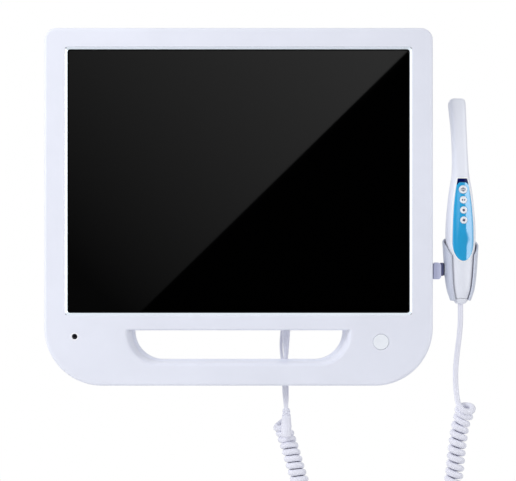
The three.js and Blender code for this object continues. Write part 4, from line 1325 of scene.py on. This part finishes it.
def cup():
    """The cup round the grip: open below, slotted in front, its rim rising to the back."""
    bm = bmesh.new()
    start = atan2(sqrt(1 - CRADLE["slot"] ** 2.2), CRADLE["slot"] ** 1.1)
    columns, rows = 84, 34
    mid = CRADLE["clearance"] + CRADLE["wall"] / 2
    grid = []
    for j in range(columns + 1):
        angle = -start + (pi + 2 * start) * j / columns
        edge_z = -60.0
        for _ in range(6):
            edge_z = rim_height(outline_point(edge_z, angle, mid)[1])
        column = []
        for k in range(rows + 1):
            z = CRADLE["low"] + (edge_z - CRADLE["low"]) * k / rows
            x, y = outline_point(z, angle, mid)
            column.append(on_section(z, x, y))
        grid.append(ring(bm, column))
    for a, b in zip(grid, grid[1:]):
        skin(bm, a, b, closed=False)
    settings = {"thickness": CRADLE["wall"], "offset": 0, "use_even_offset": True}
    bm = shaped(bm, ("SOLIDIFY", settings))
    bm = bevelled(bm, 0.75, 3, 50)
    boss = lathe([(0, -8), (6.85, -8), (6.85, -BOSS_REACH + 0.5), (6.35, -BOSS_REACH), (2.1, -BOSS_REACH),
                  (2.1, -BOSS_REACH + 1.6), (0, -BOSS_REACH + 1.6)], "x", segments=64)
    boss.transform(Matrix.Translation((0, 0, PIVOT.z)))
    boss.transform(Matrix.Rotation(-YAW, 4, "Z"))
    bm = carved(bm, boss, operation="UNION")
    room = bmesh.new()
    swept(room, [
        [on_section(z, *outline_point(z, 2 * pi * i / 72, CRADLE["clearance"])) for i in range(72)]
        for z in (-100, -92, -84, -76, -68, -60, -52)
    ])
    return carved(bm, room)


def in_painted_shade(at):
    """Painted shade inside the cup: faces nearer the grip than the middle of the wall."""
    local = HOLDER.inverted() @ at
    y = (local.y - setback(local.z)) / cos(lean(local.z))
    power, grow = 2.2 + 1.2 * neck_share(local.z), CRADLE["clearance"] + CRADLE["painted_shade_reach"]
    return ((abs(local.x) / (half_width(local.z) + grow)) ** power
            + (abs(y) / (half_depth(local.z) + grow)) ** power) < 1


# the cup's inner faces get the dark painted shade
piece("holder_cup", in_holder(cup()), HOLDER_PLASTIC, "cradle", ["cradle"], 40,
      trims=[PAINTED_SHADE], trim_of=in_painted_shade)


def base():
    low, high = corners("holder_base")
    bm = bmesh.new()
    outline = [(low.x, low.z), (high.x - 2, low.z), (high.x, low.z + 2), (high.x, high.z - 2.2),
               (high.x - 2, high.z), (low.x + 2.5, high.z), (low.x, high.z - 2.5)]
    return bevelled(swept(bm, [[(x, y, z) for x, z in outline] for y in (low.y, high.y)]), 0.7, 3)


# the bracket base's colour carries painted shade
piece("bracket_base", base(), SHADE_PAINTED_BASE_PLASTIC, "monitor", ["holder_base"])
piece("bracket_stub", lathe([
    (1.9, STUB_LOW.x), (6.5, STUB_LOW.x), (6.85, STUB_LOW.x + 0.3), (6.85, STUB_LOW.x + 0.9),
    (6.5, STUB_LOW.x + 1.1), (6.5, STUB_HIGH.x - 1.1), (6.85, STUB_HIGH.x - 0.9), (6.85, STUB_HIGH.x - 0.3),
    (6.5, STUB_HIGH.x), (1.9, STUB_HIGH.x),
], "x", (0, PIVOT.y, PIVOT.z), 64), GREY, "monitor", ["swivel_stub"])

# ---- light, floor and surroundings -------------------------------------------------------------
world = bpy.data.worlds.new("studio")
scene.world = world
world.use_nodes = True
nodes, links = world.node_tree.nodes, world.node_tree.links
nodes.clear()
room_light, backdrop = nodes.new("ShaderNodeBackground"), nodes.new("ShaderNodeBackground")
room_light.inputs["Color"].default_value = (0.97, 0.98, 1.0, 1)
room_light.inputs["Strength"].default_value = 0.55
backdrop.inputs["Color"].default_value = (1, 1, 1, 1)
backdrop.inputs["Strength"].default_value = 1.0
path, mixer = nodes.new("ShaderNodeLightPath"), nodes.new("ShaderNodeMixShader")
out = nodes.new("ShaderNodeOutputWorld")
either = nodes.new("ShaderNodeMath")
either.operation = "MAXIMUM"
links.new(path.outputs["Is Camera Ray"], either.inputs[0])
links.new(path.outputs["Is Glossy Ray"], either.inputs[1])
links.new(either.outputs[0], mixer.inputs["Fac"])
links.new(room_light.outputs[0], mixer.inputs[1])
links.new(backdrop.outputs[0], mixer.inputs[2])
links.new(mixer.outputs[0], out.inputs["Surface"])
scene.view_settings.view_transform = "Standard"


def soft_light(name, at, aim, size, power):
    light = bpy.data.lights.new(name, "AREA")
    light.shape, light.size, light.energy = "SQUARE", size, power
    lamp = placed(name, light)
    lamp.location = at
    lamp.visible_glossy = False  # the cards do the reflections
    lamp.rotation_euler = (Vector(aim) - Vector(at)).to_track_quat("-Z", "Y").to_euler()


soft_light("key", (-1.0, -0.95, 0.6), (-0.05, 0, -0.05), 0.8, 12)
soft_light("side", (1.5, -0.9, 0.3), (0.2, 0, -0.1), 0.8, 5)
soft_light("back", (-0.6, 1.8, 1.0), (0, 0, 0), 1.4, 8)


def emitter(name, color_of):
    """A glowing material whose strength changes over the card."""
    made = bpy.data.materials.new(name)
    made.use_nodes = True
    tree = made.node_tree
    tree.nodes.clear()
    glow, end = tree.nodes.new("ShaderNodeEmission"), tree.nodes.new("ShaderNodeOutputMaterial")
    tree.links.new(glow.outputs[0], end.inputs["Surface"])
    color_of(tree.nodes, tree.links, glow)
    return made


CARD_Y = -1.5  # behind the camera


def reflected(x, z):
    """Where the card shows in the glass at a place of the screen, in metres."""
    glass = corners("screen_glass")[0].y * MM
    stretch = 1 + (glass - CARD_Y) / (glass - camera.location.y)
    return (camera.location.x + (x * MM - camera.location.x) * stretch, CARD_Y,
            camera.location.z + (z * MM - camera.location.z) * stretch)


def card(name, places, material):
    """A studio card that only reflections see."""
    bm = bmesh.new()
    bm.faces.new([bm.verts.new(place) for place in places])
    mesh = bpy.data.meshes.new(name)
    bm.to_mesh(mesh)
    bm.free()
    mesh.materials.append(material)
    made = placed(name, mesh)
    made.visible_camera = made.visible_diffuse = made.visible_shadow = made.visible_transmission = False


def plain(strength):
    def settle(_, __, glow):
        glow.inputs["Strength"].default_value = strength
    return settle


def fading(nodes, links, glow):
    """Brighter towards the upper right."""
    place = nodes.new("ShaderNodeTexCoord")
    split = nodes.new("ShaderNodeSeparateXYZ")
    links.new(place.outputs["Object"], split.inputs[0])
    total = nodes.new("ShaderNodeMath")
    total.operation = "ADD"
    links.new(split.outputs["X"], total.inputs[0])
    links.new(split.outputs["Z"], total.inputs[1])
    grade = nodes.new("ShaderNodeMapRange")
    grade.inputs["From Min"].default_value, grade.inputs["From Max"].default_value = -0.46, 0.6
    grade.inputs["To Min"].default_value, grade.inputs["To Max"].default_value = 0.05, 0.64
    links.new(total.outputs[0], grade.inputs["Value"])
    links.new(grade.outputs["Result"], glow.inputs["Strength"])


card("dark_card", [(x, CARD_Y - 0.02, z) for x, z in [(-1.6, -1.5), (1.6, -1.5), (1.6, 1.4), (-1.6, 1.4)]],
     emitter("dark_card", plain(0.0)))
card("glare_card", [
    reflected(x, z) for x, z in [(-230, 190), (218, 190), (168, 138), (-98, -122), (-230, -122)]
], emitter("glare_card", fading))


def upright_card(name, outline, centre, towards, strength):
    """A card that stands beside the set. Its outline is (across, up) in metres, facing its target."""
    at = Vector(centre)
    facing = (Vector(towards) - at).normalized()
    across = Vector((0, 0, 1)).cross(facing).normalized()
    up = facing.cross(across)
    card(name, [at + across * a + up * b for a, b in outline], emitter(name, plain(strength)))


upright_card("side_card", [
    (-0.62, -0.5), (0.36, -0.5), (0.30, -0.15), (-0.12, -0.10), (0.10, -0.06), (0.40, -0.01), (0.40, 0.75),
    (-0.45, 0.75),
], (1.12, -0.72, 0.0), (0.2246, -0.04, -0.03), 2.45)

upright_card("left_card", [(-0.5, -0.6), (0.5, -0.6), (0.5, 0.7), (-0.5, 0.7)], (-1.4, -0.35, 0.0),
             (0, -0.04, 0), 1.4)


FLOOR_RADIUS, FLOOR_DROP = 0.84, 0.05  # metres; the drop is from the cord's lowest point


def floor():
    bm = bmesh.new()
    bmesh.ops.create_circle(bm, cap_ends=True, segments=96, radius=FLOOR_RADIUS)
    mesh = bpy.data.meshes.new("floor")
    bm.to_mesh(mesh)
    bm.free()
    made = placed("floor", mesh)
    made.location = (0, 0, cad_box[0].z - FLOOR_DROP)
    mesh.materials.append(moulded("floor_paper", (0.93, 0.93, 0.94), 0.8, grain=3, bump=0.1, mottle=0.005))


floor()
